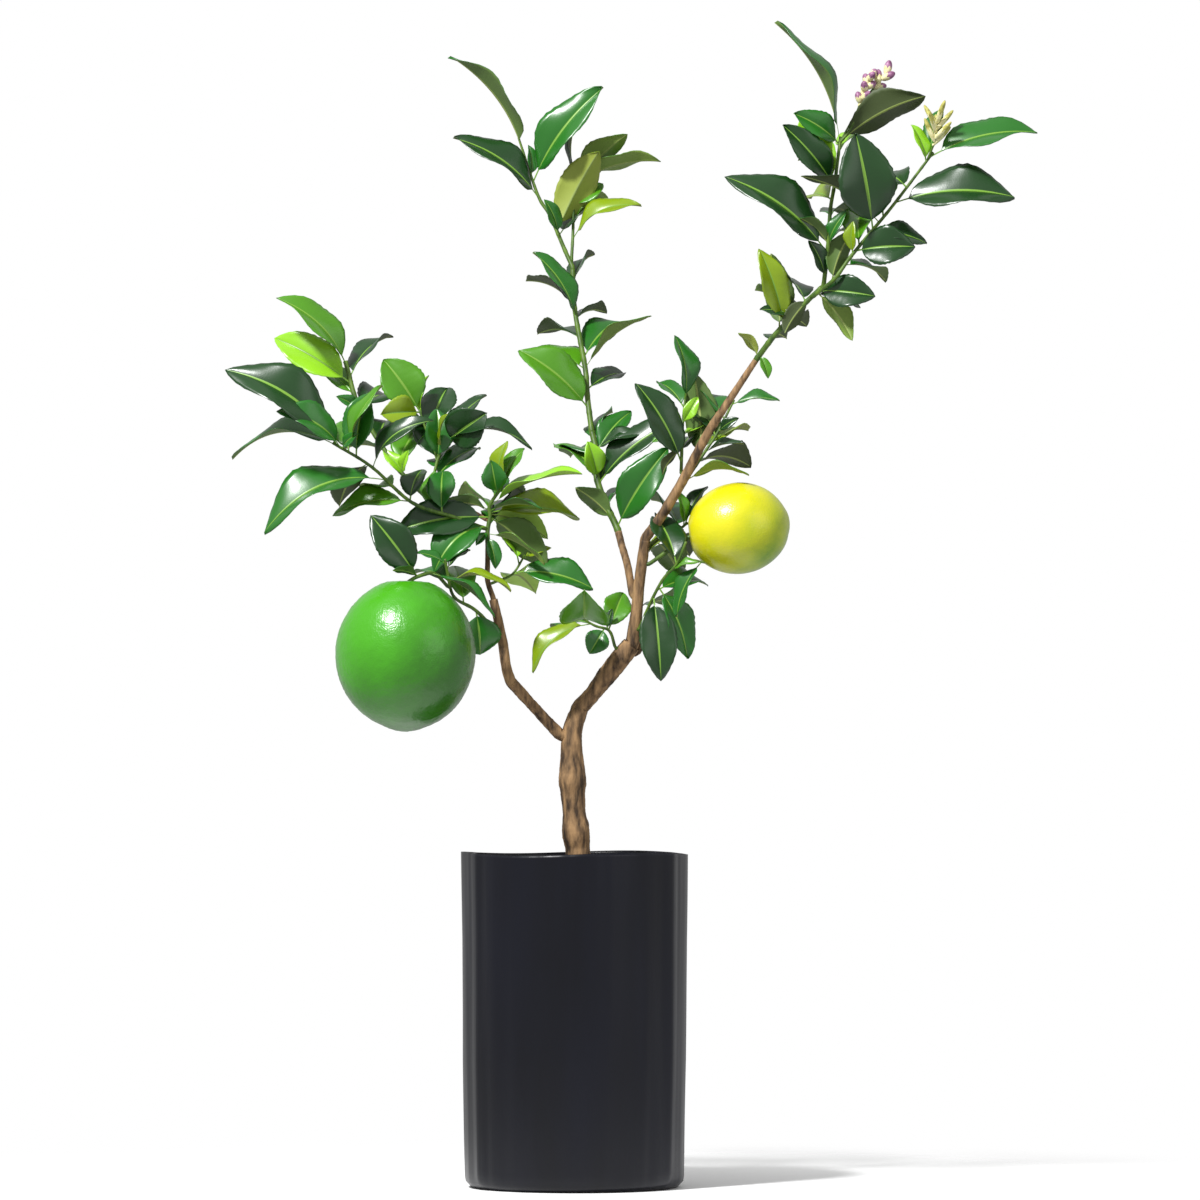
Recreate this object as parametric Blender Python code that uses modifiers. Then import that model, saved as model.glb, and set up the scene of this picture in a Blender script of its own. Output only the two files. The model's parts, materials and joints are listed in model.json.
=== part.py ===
"""A young citrus tree with several kinds grafted on it, in a black film planter bag.

Metres, +Z up. The origin is the middle of the bag's underside, and -Y is the side the tree is looked at from.
Places on the tree and sizes of its leaves are given in millimetres, because a leaf is 60 to 110 mm long.
"""

import math
import random
from collections import namedtuple

import bmesh
import bpy
from mathutils import Matrix, Vector
from mathutils.bvhtree import BVHTree

MM = 0.001
WELD = 0.000001
CLEAR = 0.3  # the gap between two pieces that meet, in mm
SEED = 7
FRONT = Vector((0, -1, 0))
UP = Vector((0, 0, 1))
GOLDEN_ANGLE = math.radians(137.5)

BAG_RADIUS = 98.0
BAG_HEIGHT = 288.0
BAG_WALL = 1.6
BAG_SIDES = 32
BAG_RINGS = ((0, 0.91), (5, 0.965), (110, 0.985), (215, 0.99), (BAG_HEIGHT, 1.0))  # height in mm, share of the radius
CREASE_ANGLES = (58.5, 121.5)  # the gusset creases, either side of the front, in degrees
CREASE_HEIGHT = 2.0
CREASE_SPREAD = 12.0
RIM_WAVE = 1.2
SOIL_LEVEL = 262.0
SOIL_RINGS = ((24, 0), (58, -3), (88, -6))  # radius, height over the soil's level
SOIL_EDGE_GAP = 1.2
SOIL_FOOT = 6.0  # the radius that the foot of the bag is rounded by

TWIG_STEPS = 2
LIMB_STEPS = 2
TWIG_SIDES_LEVEL = 0
LIMB_SIDES_LEVEL = 1
LAST_SHARE = 0.97
STRAIGHT_START = 2.0  # how far a limb or twig runs on straight from where it starts, in mm

PETIOLE_WIDTH = 1.8
LEAF_WIDTH = 0.46  # a blade's width as a share of the leaf's length
LEAF_ARCH = 0.10
LEAF_FOLD = 24.0  # how far each half of a blade is folded up from its midrib, in degrees
LEAF_STATIONS = ((0.0, 0.0), (0.36, 0.92), (0.70, 0.82), (1.0, 0.0))
LEAF_THICKNESS = 0.013  # as a share of the leaf's length
LEAST_THICKNESS = 0.9
SHADE_LENGTHS = (44.0, 74.0)
SHADE_LEANS = (38.0, 72.0)
CROWN_MIDDLE = Vector((50, 0, 700))
CROWN_REACH = Vector((345, 170, 305))

# A leaf leaves its twig at a share of the twig's length. Seen from the front, it heads at so many degrees
# anticlockwise from +X, and it leans so many degrees out of that plane, towards the front where positive.
# At turn 0 its upper face looks to the front, at 90 up, and at 180 to the back.
Leaf = namedtuple("Leaf", "share heading length lean turn width arch", defaults=(0.0, 40.0, LEAF_WIDTH, LEAF_ARCH))

# A limb or a twig starts on its parent: on the parent's tip at share 1, or else on its side. Its path runs on
# from there, and its diameters are spread evenly along it.
Limb = namedtuple("Limb", "parent share path diameters")
Twig = namedtuple("Twig", "parent share path diameters leaves shade", defaults=((), 0))

TRUNK = Limb(
    None, 0, ((4, 0, SOIL_LEVEL + CLEAR), (4, 0, 264), (4, 0, 274), (3, 0, 288), (0, 0, 320), (-2, 0, 354), (-2, 0, 391), (4, 0, 412)),
    (36, 23, 21, 24, 20, 20.5, 24, 20.5, 17.5, 17, 15),
)
BOUGHS = {
    "left_bough_lower": Limb("trunk", 0.84, ((-23, -3, 401), (-34, -6, 413), (-54, -13, 435)), (11, 9.6, 9.2, 10)),
    "left_bough_upper": Limb(
        "left_bough_lower", 1, ((-59, -16, 449), (-62, -18, 470), (-66, -20, 489), (-70, -21, 507)), (10, 8.6, 8.6, 8, 7.4)
    ),
    "right_bough_lower": Limb("trunk", 1, ((15, -2, 425), (29, -5, 443), (49, -10, 468)), (15, 14, 16, 18, 16)),
    "pruned_stub": Limb("right_bough_lower", 0.93, ((76, -12, 493),), (8, 4)),
    "right_bough_middle": Limb("right_bough_lower", 1, ((54, -12, 500), (56, -12, 522), (61, -14, 558)), (13, 10, 9.6, 9)),
    "right_bough_upper": Limb(
        "right_bough_middle", 1, ((77, -19, 582), (96, -26, 614), (115, -36, 650), (136, -44, 682), (156, -52, 712)),
        (8.8, 8.4, 8.4, 7.6, 6.2, 5),
    ),
    "centre_bough": Limb("right_bough_middle", 0.47, ((46, -3, 536), (41, 4, 554), (38, 9, 566)), (6.8, 6.4, 6.2)),
    "left_leader": Limb("left_bough_upper", 1, ((-75, -22, 523), (-75, -20, 538), (-75, -19, 555)), (4.8, 4.4, 4.2)),
}

SPRAYS = {
    "left_heart_right": (
        Twig(
            "left_leader", 1, ((-75, -18, 567), (-73, -17, 579), (-73, -17, 589), (-62, -18, 605)), (4.2, 2.6),
            (
                Leaf(0.15, 284, 30, 12, 30), Leaf(0.19, 331, 58, 14, 95, 0.36), Leaf(0.22, 231, 18, 30, 20),
                Leaf(0.30, 221, 66, 22, 40, 0.56, 0.22), Leaf(0.45, 189, 84, 8, 30, 0.44),
                Leaf(0.45, 318, 66, -8, 150, 0.52), Leaf(0.52, 357, 84, -22, 55), Leaf(0.50, 338, 62, -30, 140),
                Leaf(0.56, 171, 42, -18, 120), Leaf(0.62, 19, 86, 10, 85, 0.40), Leaf(0.55, 2, 50, 24, 85),
                Leaf(0.85, 100, 31, 20, 0, 0.7), Leaf(0.9, 81, 44, 5, 55), Leaf(0.95, 60, 42, -15, 45, 0.55),
            ),
            5,
        ),
    ),
    "far_left_low": (
        Twig(
            "left_heart_right", 0.26, ((-105, -30, 578), (-140, -42, 590), (-174, -56, 620), (-207, -68, 640)), (3.6, 2.4),
            (
                Leaf(0.97, 146, 116, 5, 40, 0.40, 0.16), Leaf(0.95, 150, 66, 22, 45, 0.50, 0.15),
                Leaf(0.96, 186, 96, -14, 70, 0.40, 0.20), Leaf(0.64, 204, 116, 12, 55, 0.40, 0.18),
                Leaf(0.46, 190, 70, -12, 60, 0.46), Leaf(0.9, 62, 66, 16, 65, 0.42), Leaf(0.85, 80, 56, -4, 25, 0.5),
                Leaf(0.74, 37, 68, 14, 50, 0.38, 0.20), Leaf(0.94, 40, 24, 40, 40),
            ),
            5,
        ),
    ),
    "far_left_top": (
        Twig(
            "left_reach", 1, ((-148, 8, 615), (-164, 14, 636), (-188, 26, 676), (-200, 36, 716)), (3.8, 4.2),
            (
                Leaf(0.97, 136, 86, 12, 50, 0.44, 0.14), Leaf(0.86, 149, 80, -10, 20, 0.46),
                Leaf(0.68, 150, 28, 30, 30), Leaf(0.2, 130, 30, -12, 30, 0.5), Leaf(0.22, 74, 24, 30, 40),
            ),
            7,
        ),
    ),
    "left_heart_high": (
        Twig(
            "left_reach", 0.92, ((-122, 4, 613), (-118, 8, 632), (-110, 12, 648)), (3, 2.2),
            (
                Leaf(0.6, 91, 46, -8, 20, 0.6), Leaf(0.95, 33, 48, 28, 0, 0.75), Leaf(0.9, 50, 58, -16, 55),
                Leaf(0.86, 358, 78, 10, 65, 0.36, 0.22), Leaf(0.5, 268, 42, 24, 50), Leaf(0.8, 80, 40, 42, 80, 0.3),
            ),
            4,
        ),
        Twig(
            "stem", 0.62, ((-124, 14, 645), (-130, 17, 658), (-135, 20, 673)), (2.6, 2),
            (Leaf(0.95, 125, 56, 0, 15, 0.7), Leaf(0.9, 80, 38, -20, 60), Leaf(0.95, 185, 40, 32, 10, 0.7)),
            1,
        ),
    ),
    "fruit_side": (
        Twig(
            "left_bough_upper", 0.66, ((-86, -31, 498), (-103, -46, 508), (-108, -54, 524), (-111, -58, 541)), (3.4, 2.4),
            (
                Leaf(0.95, 160, 27, 10, 60), Leaf(0.78, 350, 55, 10, 75, 0.40, 0.18), Leaf(0.3, 275, 40, -18, 15, 0.9),
                Leaf(0.9, 40, 30, -30, 60),
            ),
            2,
        ),
    ),
    "green_fruit": (
        Twig(
            "fruit_side", 0.72, ((-120, -72, 528), (-134, -82, 525), (-142, -85, 520)), (3, 3.4),
            (Leaf(0.82, 127, 66, 6, 10, 0.52), Leaf(0.55, 325, 68, 12, 75, 0.36), Leaf(0.8, 168, 28, 40, 130)),
        ),
    ),
    "leader_side": (
        Twig(
            "left_leader", 0.3, ((-54, -8, 529), (-43, 0, 546)), (2.4, 1.8),
            (Leaf(0.6, 348, 70, 4, 50, 0.48), Leaf(0.93, 20, 26, 0, 40)),
            2,
        ),
    ),
    "centre_low": (
        Twig(
            "centre_bough", 1, ((34, 13, 576), (26, 18, 593), (19, 26, 615), (19, 32, 635), (15, 40, 655)), (6, 5.2),
            (
                Leaf(0.06, 57, 84, 12, 20, 0.40), Leaf(0.14, 140, 44, 12, 150, 0.5), Leaf(0.5, 38, 90, 6, 50, 0.44),
                Leaf(0.56, 104, 34, 20, 20, 0.6), Leaf(0.8, 50, 52, -25, 30, 0.5), Leaf(0.82, 18, 46, 20, 60),
            ),
            5,
        ),
    ),
    "centre_mid": (
        Twig(
            "centre_low", 1, ((11, 52, 686), (9, 60, 712), (0, 76, 763), (-2, 85, 800)), (5, 4),
            (
                Leaf(0.15, 140, 80, 5, 35, 0.52), Leaf(0.4, 38, 74, 8, 95, 0.44), Leaf(0.7, 123, 70, 0, 60, 0.42),
            ),
            7,
        ),
    ),
    "centre_top": (
        Twig(
            "centre_mid", 1, ((-8, 90, 815), (-22, 97, 848), (-33, 101, 867), (-50, 108, 918)), (4, 2),
            (
                Leaf(0.88, 127, 108, 6, 100, 0.40), Leaf(0.55, 145, 94, 8, 50, 0.40, 0.12), Leaf(0.68, 53, 104, 8, 35, 0.38),
                Leaf(0.3, 62, 80, 10, 165, 0.44), Leaf(0.28, 112, 34, 20, 40), Leaf(0.72, 95, 28, 0, 40),
            ),
            4,
        ),
        Twig(
            "stem", 0.05, ((-2, 98, 829), (-1, 103, 860), (1, 108, 885)), (3, 2),
            (
                Leaf(0.96, 90, 50, 0, 75, 0.3), Leaf(0.8, 48, 70, 4, 140, 0.42), Leaf(0.9, 15, 78, 0, 110, 0.36),
                Leaf(0.3, 25, 68, 10, 60, 0.4, 0.2), Leaf(0.65, 40, 36, -20, 30, 0.6),
            ),
            2,
        ),
    ),
    "right_inner": (
        Twig(
            "right_bough_upper", 0.36, ((93, -20, 645), (94, -14, 665), (97, -8, 690)), (3, 2),
            (
                Leaf(0.15, 120, 80, 10, 30, 0.42), Leaf(0.85, 99, 58, 0, 55, 0.48), Leaf(0.3, 232, 28, 5, 120, 0.5),
                Leaf(0.5, 200, 30, 20, 40), Leaf(0.6, 60, 26, 0, 0),
            ),
            3,
        ),
    ),
    "right_outer": (
        Twig(
            "right_bough_upper", 0.33, ((113, -22, 635), (124, -16, 652), (138, -8, 680)), (3, 2),
            (
                Leaf(0.95, 4, 42, 10, 60, 0.5), Leaf(0.64, 32, 22, 20, 30), Leaf(0.38, 12, 36, 20, 70),
                Leaf(0.05, 4, 56, 14, 110, 0.36, 0.15), Leaf(0.3, 94, 78, -14, 160, 0.42),
            ),
            4,
        ),
    ),
    "yellow_fruit": (Twig("right_bough_middle", 0.78, ((78, -18, 547), (92, -18, 556), (101, -18, 562)), (3.4, 4)),),
    "fruit_leaves": (
        Twig(
            "right_bough_middle", 0.93, ((76, -6, 560), (88, -4, 566), (98, -2, 574)), (2.6, 2.2),
            (
                Leaf(0.93, 60, 42, -20, 50), Leaf(0.9, 100, 32, 0, 40, 0.4), Leaf(0.8, 216, 34, 10, 60),
                Leaf(0.3, 96, 26, -10, 40), Leaf(0.95, 350, 46, -40, 60),
            ),
            3,
        ),
    ),
    "knee_spray": (
        Twig(
            "right_bough_middle", 0.16, ((67, -30, 507), (77, -36, 525), (88, -42, 537), (96, -46, 556)), (3, 2.2),
            (Leaf(0.4, 275, 74, 8, 5, 0.44), Leaf(0.5, 292, 68, -12, 40, 0.44), Leaf(0.7, 16, 26, 20, 60)),
            3,
        ),
        Twig("stem", 0.72, ((100, -44, 540), (112, -46, 538)), (2, 1.8), (Leaf(0.9, 246, 52, -5, 60, 0.42),)),
    ),
    "stub_spray": (
        Twig(
            "right_bough_lower", 0.86, ((30, -20, 480), (18, -26, 484), (6, -30, 491)), (3, 1.8),
            (
                Leaf(0.8, 219, 66, 4, 60, 0.40, 0.18), Leaf(0.55, 240, 26, 10, 0, 0.8), Leaf(0.5, 75, 18, 0, 20),
                Leaf(0.94, 90, 60, 66, 0, 0.74),
            ),
            2,
        ),
    ),
    "right_mid": (
        Twig(
            "right_bough_upper", 1, ((172, -60, 733), (187, -66, 748), (199, -70, 761), (212, -75, 773)), (5, 4.2),
            (
                Leaf(0.06, 131, 28, 20, 130), Leaf(0.08, 290, 22, 10, 30), Leaf(0.4, 96, 68, -10, 160, 0.38),
                Leaf(0.46, 108, 70, 12, 20, 0.36), Leaf(0.6, 170, 30, 10, 40), Leaf(0.84, 234, 38, 10, 150),
                Leaf(0.93, 306, 52, 5, 140, 0.44), Leaf(0.95, 353, 52, 22, 10, 0.55), Leaf(0.9, 345, 44, -20, 60),
            ),
            4,
        ),
    ),
    "right_top_left": (
        Twig(
            "right_mid", 1, ((217, -82, 808), (219, -84, 839), (223, -82, 863), (228, -76, 902)), (4, 2.6),
            (
                Leaf(0.97, 119, 116, 6, 80, 0.40), Leaf(0.95, 148, 50, 20, 30, 0.5), Leaf(0.67, 131, 70, 14, 20, 0.42),
                Leaf(0.66, 113, 70, -12, 0, 0.42), Leaf(0.24, 144, 110, 8, 40, 0.42, 0.12), Leaf(0.3, 140, 36, 26, 130),
                Leaf(0.97, 27, 84, 15, 140, 0.42), Leaf(0.3, 60, 32, 10, 40), Leaf(0.08, 114, 36, 20, 40),
            ),
            5,
        ),
        Twig("stem", 0.96, ((236, -78, 908), (244, -79, 928), (254, -80, 955)), (2.4, 1.8)),
        Twig("stem", 0.96, ((246, -78, 930), (262, -75, 950), (269, -73, 957)), (2, 1.6)),
    ),
    "right_top_right": (
        Twig(
            "right_mid", 0.86, ((222, -90, 779), (236, -90, 798), (256, -97, 822), (274, -101, 844), (306, -107, 886)),
            (3.6, 2.2),
            (
                Leaf(0.55, 150, 78, 8, 110, 0.40), Leaf(0.5, 101, 86, 18, 5, 0.56), Leaf(0.16, 68, 50, -12, 150, 0.46),
                Leaf(0.34, 90, 28, 10, 40), Leaf(0.36, 3, 52, 14, 15, 0.66), Leaf(0.48, 350, 50, -10, 50),
                Leaf(0.68, 2, 102, 8, 45, 0.46), Leaf(0.97, 13, 94, 0, 50, 0.44), Leaf(0.94, 112, 34, 0, 40),
                Leaf(0.97, 76, 46, -14, 30, 0.4),
            ),
            6,
        ),
        Twig("stem", 0.95, ((307, -112, 896), (309, -114, 914)), (2, 1.8)),
    ),
}
REACH_LIMB = Limb("left_heart_right", 0.4, ((-88, -9, 583), (-100, -4, 588), (-127, 2, 596)), (3.6, 4.2))
REACH_BEFORE = "far_left_top"

# A fruit hangs on the tip of its spray's stem. Half its width and half its length, and the way its far end points.
Fruit = namedtuple("Fruit", "half_width half_length axis")
FRUITS = {
    "green_fruit": Fruit(59.5, 64.5, Vector((-0.03, -0.03, -1))),
    "yellow_fruit": Fruit(39.5, 44.0, Vector((1, 0.05, 0.16))),
}
FRUIT_SINK = 3.0

# Buds, or the heads of flowers that have dropped, stand round the twigs of a spray's flower stalk.
Cluster = namedtuple("Cluster", "twig first_share count length width")
CLUSTERS = {
    "right_top_left": (Cluster(1, 0.55, 9, 11, 6.5), Cluster(2, 0.75, 4, 14, 7)),
    "right_top_right": (Cluster(1, 0.4, 9, 24, 4.5),),
}
CLUSTER_TILT = 38.0

FINISHES = {  # base colour, roughness, metallic
    "bag_film": ((0.012, 0.013, 0.018), 0.3, 0.0),
    "soil": ((0.05, 0.032, 0.02), 0.95, 0.0),
    "bark": ((0.16, 0.10, 0.06), 0.85, 0.0),
    "foliage": ((0.07, 0.17, 0.02), 0.45, 0.0),
    "green_peel": ((0.12, 0.33, 0.01), 0.4, 0.0),
    "yellow_peel": ((0.62, 0.50, 0.02), 0.4, 0.0),
}
FRUIT_FINISHES = {"green_fruit": "green_peel", "yellow_fruit": "yellow_peel"}


class Rod:
    """A tapering run of wood or stem: a smooth line, and a diameter at each of its points, in mm."""

    def __init__(self, points, diameters, steps, start=None):
        self.points = smooth_path([Vector(point) for point in points], steps)
        if start:
            self.points.insert(0, start)
        lengths = [(b - a).length for a, b in zip(self.points, self.points[1:])]
        self.shares = [sum(lengths[:i]) / sum(lengths) for i in range(len(self.points))]
        self.diameters = [spread(diameters, share) for share in self.shares]

    def at(self, share):
        """The point, the direction and the radius at a share of the rod's length."""
        i = max(1, next((i for i, reached in enumerate(self.shares) if reached >= share), len(self.shares) - 1))
        a, b = self.points[i - 1], self.points[i]
        part = min(1, max(0, (share - self.shares[i - 1]) / (self.shares[i] - self.shares[i - 1])))
        diameter = self.diameters[i - 1] + (self.diameters[i] - self.diameters[i - 1]) * part
        return a.lerp(b, part), (b - a).normalized(), diameter / 2


def spread(values, share):
    """The value at a share of the way along values that are evenly spread."""
    place = share * (len(values) - 1)
    i = min(len(values) - 2, int(place))
    return values[i] + (values[i + 1] - values[i]) * (place - i)


def smooth_path(points, steps):
    """Points on a Catmull-Rom curve through the given ones, with so many steps between each two."""
    ends = [2 * points[0] - points[1], *points, 2 * points[-1] - points[-2]]
    curve = []
    for a, b, c, d in zip(ends, ends[1:], ends[2:], ends[3:]):
        for step in range(steps):
            t = step / steps
            pull = (2 * a - 5 * b + 4 * c - d) * t**2 + (3 * b - a - 3 * c + d) * t**3
            curve.append(0.5 * (2 * b + (c - a) * t + pull))
    return [*curve, points[-1]]


def grow(limb, parent, steps):
    """A rod that runs on from its parent's tip, or that leaves its parent's side, clear of it by CLEAR."""
    point, along, radius = parent.at(limb.share)
    target = Vector(limb.path[0])
    own_radius = limb.diameters[0] / 2
    if limb.share == 1:
        start, outward = point + along * CLEAR, along
    else:
        outward = (target - point).normalized()
        away = (outward - along * outward.dot(along)).normalized()
        reached = parent.surface.ray_cast((point + away * 3 * radius) * MM, -away)[0] / MM
        start = reached + away * (CLEAR + own_radius * abs(outward.dot(along)))
    return Rod((start + outward * STRAIGHT_START, *limb.path), limb.diameters, steps, start)


def branch(twig, stem):
    """A rod that leaves its spray's own stem, rooted on the stem's axis."""
    return Rod((stem.at(twig.share)[0], *twig.path), twig.diameters, TWIG_STEPS)


def bent_tube(rod, resolution):
    """The closed mesh of a rod, from a curve with filled caps."""
    curve = bpy.data.curves.new("rod", "CURVE")
    curve.dimensions = "3D"
    curve.bevel_depth = 1.0
    curve.bevel_resolution = resolution
    curve.use_fill_caps = True
    spline = curve.splines.new("POLY")
    spline.points.add(len(rod.points) - 1)
    for place, point, diameter in zip(spline.points, rod.points, rod.diameters):
        place.co = (*(point * MM), 1)
        place.radius = diameter / 2 * MM
    guide = bpy.data.objects.new("rod", curve)
    bpy.context.scene.collection.objects.link(guide)
    mesh = bpy.data.meshes.new_from_object(guide.evaluated_get(bpy.context.evaluated_depsgraph_get()))
    bm = bmesh.new()
    bm.from_mesh(mesh)
    bmesh.ops.remove_doubles(bm, verts=bm.verts, dist=WELD)
    bmesh.ops.recalc_face_normals(bm, faces=bm.faces)
    bpy.data.objects.remove(guide)
    bpy.data.curves.remove(curve)
    bpy.data.meshes.remove(mesh)
    rod.surface = BVHTree.FromBMesh(bm)
    return bm


def leaf_axes(leaf):
    """The way a leaf points, and the way its upper face looks."""
    heading, lean, turn = (math.radians(angle) for angle in (leaf.heading, leaf.lean, leaf.turn))
    along = Vector((math.cos(lean) * math.cos(heading), -math.sin(lean), math.cos(lean) * math.sin(heading)))
    to_front = (FRONT - along * FRONT.dot(along)).normalized()
    to_side = along.cross(to_front)
    if to_side.z < 0:
        to_side.negate()
    return along, to_front * math.cos(turn) + to_side * math.sin(turn)


def leaf_blade(leaf, root):
    """The closed mesh of a leaf and its stalk: a grid bent to shape, folded at the midrib, and given a thickness."""
    along, upper = leaf_axes(leaf)
    across = upper.cross(along)
    fold = math.radians(LEAF_FOLD)
    bm = bmesh.new()
    rows = len(LEAF_STATIONS) - 1
    bmesh.ops.create_grid(bm, x_segments=2, y_segments=rows, size=1)
    for vert in bm.verts:
        side = round(vert.co.x)
        share, width = LEAF_STATIONS[round((vert.co.y + 1) / 2 * rows)]
        half = max(PETIOLE_WIDTH, width * leaf.width * leaf.length) / 2
        rise = leaf.arch * leaf.length * 4 * share * (1 - share) + (abs(side) * half * math.sin(fold) if width else 0)
        vert.co = root + along * share * leaf.length + upper * rise + across * side * half * math.cos(fold)
        if share == 1:
            vert.co -= across * side * half * math.cos(fold)
    bmesh.ops.remove_doubles(bm, verts=bm.verts, dist=0.01)
    bmesh.ops.solidify(bm, geom=bm.faces, thickness=max(LEAST_THICKNESS, LEAF_THICKNESS * leaf.length))
    bmesh.ops.scale(bm, vec=(MM, MM, MM), verts=bm.verts)
    bmesh.ops.recalc_face_normals(bm, faces=bm.faces)
    return bm


def shade_leaf(rod, share, side, rng):
    """A leaf on the hidden side of a twig, that leans away from the front and turns its upper face to the sky."""
    way = rod.at(share)[1]
    heading = math.degrees(math.atan2(way.z, way.x)) + side * rng.uniform(30, 95)
    leaf = Leaf(share, heading, rng.uniform(*SHADE_LENGTHS), -rng.uniform(*SHADE_LEANS), 0)
    along, to_front = leaf_axes(leaf)
    to_side = leaf_axes(leaf._replace(turn=90))[1]
    turn = math.degrees(math.atan2(to_side.z, to_front.z)) + rng.uniform(-30, 30)
    return leaf._replace(turn=turn, width=rng.uniform(0.42, 0.54))


def shade_leaves(twig, rod, name):
    """The spray's seeded rule: leaves in turn on either side of the twig, each a golden-angle step up it."""
    rng = random.Random(f"{SEED} {name}")
    step = GOLDEN_ANGLE / math.tau
    for i in range(twig.shade):
        share = 0.15 + 0.82 * ((i + 1) * step % 1)
        leaf = shade_leaf(rod, share, 1 if i % 2 else -1, rng)
        tip = rod.at(share)[0] + leaf_axes(leaf)[0] * leaf.length - CROWN_MIDDLE
        if sum((tip[i] / CROWN_REACH[i]) ** 2 for i in range(3)) < 1:
            yield leaf


def fruit_body(fruit, stalk_end):
    """A fruit's closed mesh, drawn in a little at the stalk and out a little at the far end."""
    axis = fruit.axis.normalized()
    middle = stalk_end + axis * (fruit.half_length - FRUIT_SINK)
    bm = bmesh.new()
    bmesh.ops.create_icosphere(bm, subdivisions=3, radius=1)
    for vert in bm.verts:
        near_end = max(0, abs(vert.co.z) - 0.94) / 0.06
        vert.co.z *= 1 + (0.03 if vert.co.z > 0 else -0.03) * near_end
    turned = Matrix.Translation(middle * MM) @ UP.rotation_difference(axis).to_matrix().to_4x4()
    size = Matrix.Diagonal((fruit.half_width * MM, fruit.half_width * MM, fruit.half_length * MM, 1))
    bmesh.ops.transform(bm, matrix=turned @ size, verts=bm.verts)
    return bm


def cluster_heads(cluster, rod):
    """The closed meshes of a cluster's buds or flower heads, set round its stalk by the golden angle."""
    for i in range(cluster.count):
        share = cluster.first_share + (0.97 - cluster.first_share) * i / (cluster.count - 1)
        point, along, radius = rod.at(share)
        outward = Matrix.Rotation(GOLDEN_ANGLE * i, 3, along) @ along.orthogonal().normalized()
        tilt = math.radians(CLUSTER_TILT)
        way = along * math.cos(tilt) + outward * math.sin(tilt)
        turned = Matrix.Translation((point + way * cluster.length * 0.42) * MM)
        turned @= UP.rotation_difference(way).to_matrix().to_4x4()
        bm = bmesh.new()
        bmesh.ops.create_icosphere(bm, subdivisions=1, radius=1)
        size = Matrix.Diagonal((cluster.width / 2 * MM, cluster.width / 2 * MM, cluster.length / 2 * MM, 1))
        bmesh.ops.transform(bm, matrix=turned @ size, verts=bm.verts)
        yield bm


def touches(bm, trees):
    tree = BVHTree.FromBMesh(bm)
    return any(tree.overlap(other) for other in trees)


def add_object(name, bm, collection, material=None):
    mesh = bpy.data.meshes.new(name)
    bm.to_mesh(mesh)
    bm.free()
    made = bpy.data.objects.new(name, mesh)
    if material:
        mesh.materials.append(material)
    collection.objects.link(made)
    return made


def joined(name, pieces, collection, material):
    """One closed body from a stem's mesh and all that is fused to it."""
    made = add_object(name, pieces[0], collection, material)
    scraps = bpy.data.collections.new("scraps")
    bpy.context.scene.collection.children.link(scraps)
    for piece in pieces[1:]:
        add_object(name, piece, scraps)
    union = made.modifiers.new("union", "BOOLEAN")
    union.operation = "UNION"
    union.operand_type = "COLLECTION"
    union.collection = scraps
    union.solver = "MANIFOLD"
    mesh = bpy.data.meshes.new_from_object(made.evaluated_get(bpy.context.evaluated_depsgraph_get()))
    made.modifiers.remove(union)
    made.data = mesh
    for scrap in list(scraps.objects):
        bpy.data.objects.remove(scrap)
    bpy.data.collections.remove(scraps)
    return made


def crease(angle):
    """How far the film stands out at an angle, as a share of a whole crease's height."""
    from_front = abs(math.degrees(math.atan2(math.sin(angle), math.cos(angle))))
    nearest = min(abs(from_front - crease_angle) for crease_angle in CREASE_ANGLES)
    return max(0, 1 - nearest / CREASE_SPREAD)


def ring_of(bm, height, radius, wave):
    """A closed ring of edges round the bag, with its creases standing out."""
    ring = bmesh.ops.create_circle(bm, cap_ends=False, segments=BAG_SIDES, radius=radius)["verts"]
    for vert in ring:
        angle = math.atan2(vert.co.x, -vert.co.y)
        vert.co *= 1 + crease(angle) * CREASE_HEIGHT / BAG_RADIUS
        vert.co.z = height + wave * math.sin(3 * angle)
    return list({edge for vert in ring for edge in vert.link_edges})


def make_bag(collection, material):
    """The planter bag: rings bridged to an open film tube with a flat foot, given its thickness inwards."""
    bm = bmesh.new()
    rings = [
        ring_of(bm, height, share * BAG_RADIUS, RIM_WAVE if height == BAG_HEIGHT else 0) for height, share in BAG_RINGS
    ]
    for lower, upper in zip(rings, rings[1:]):
        bmesh.ops.bridge_loops(bm, edges=lower + upper)
    bmesh.ops.contextual_create(bm, geom=rings[0])
    bmesh.ops.scale(bm, vec=(MM, MM, MM), verts=bm.verts)
    bmesh.ops.recalc_face_normals(bm, faces=bm.faces)
    bag = add_object("pot", bm, collection, material)
    wall = bag.modifiers.new("wall", "SOLIDIFY")
    wall.thickness = BAG_WALL * MM
    wall.offset = -1
    return bag


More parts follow.
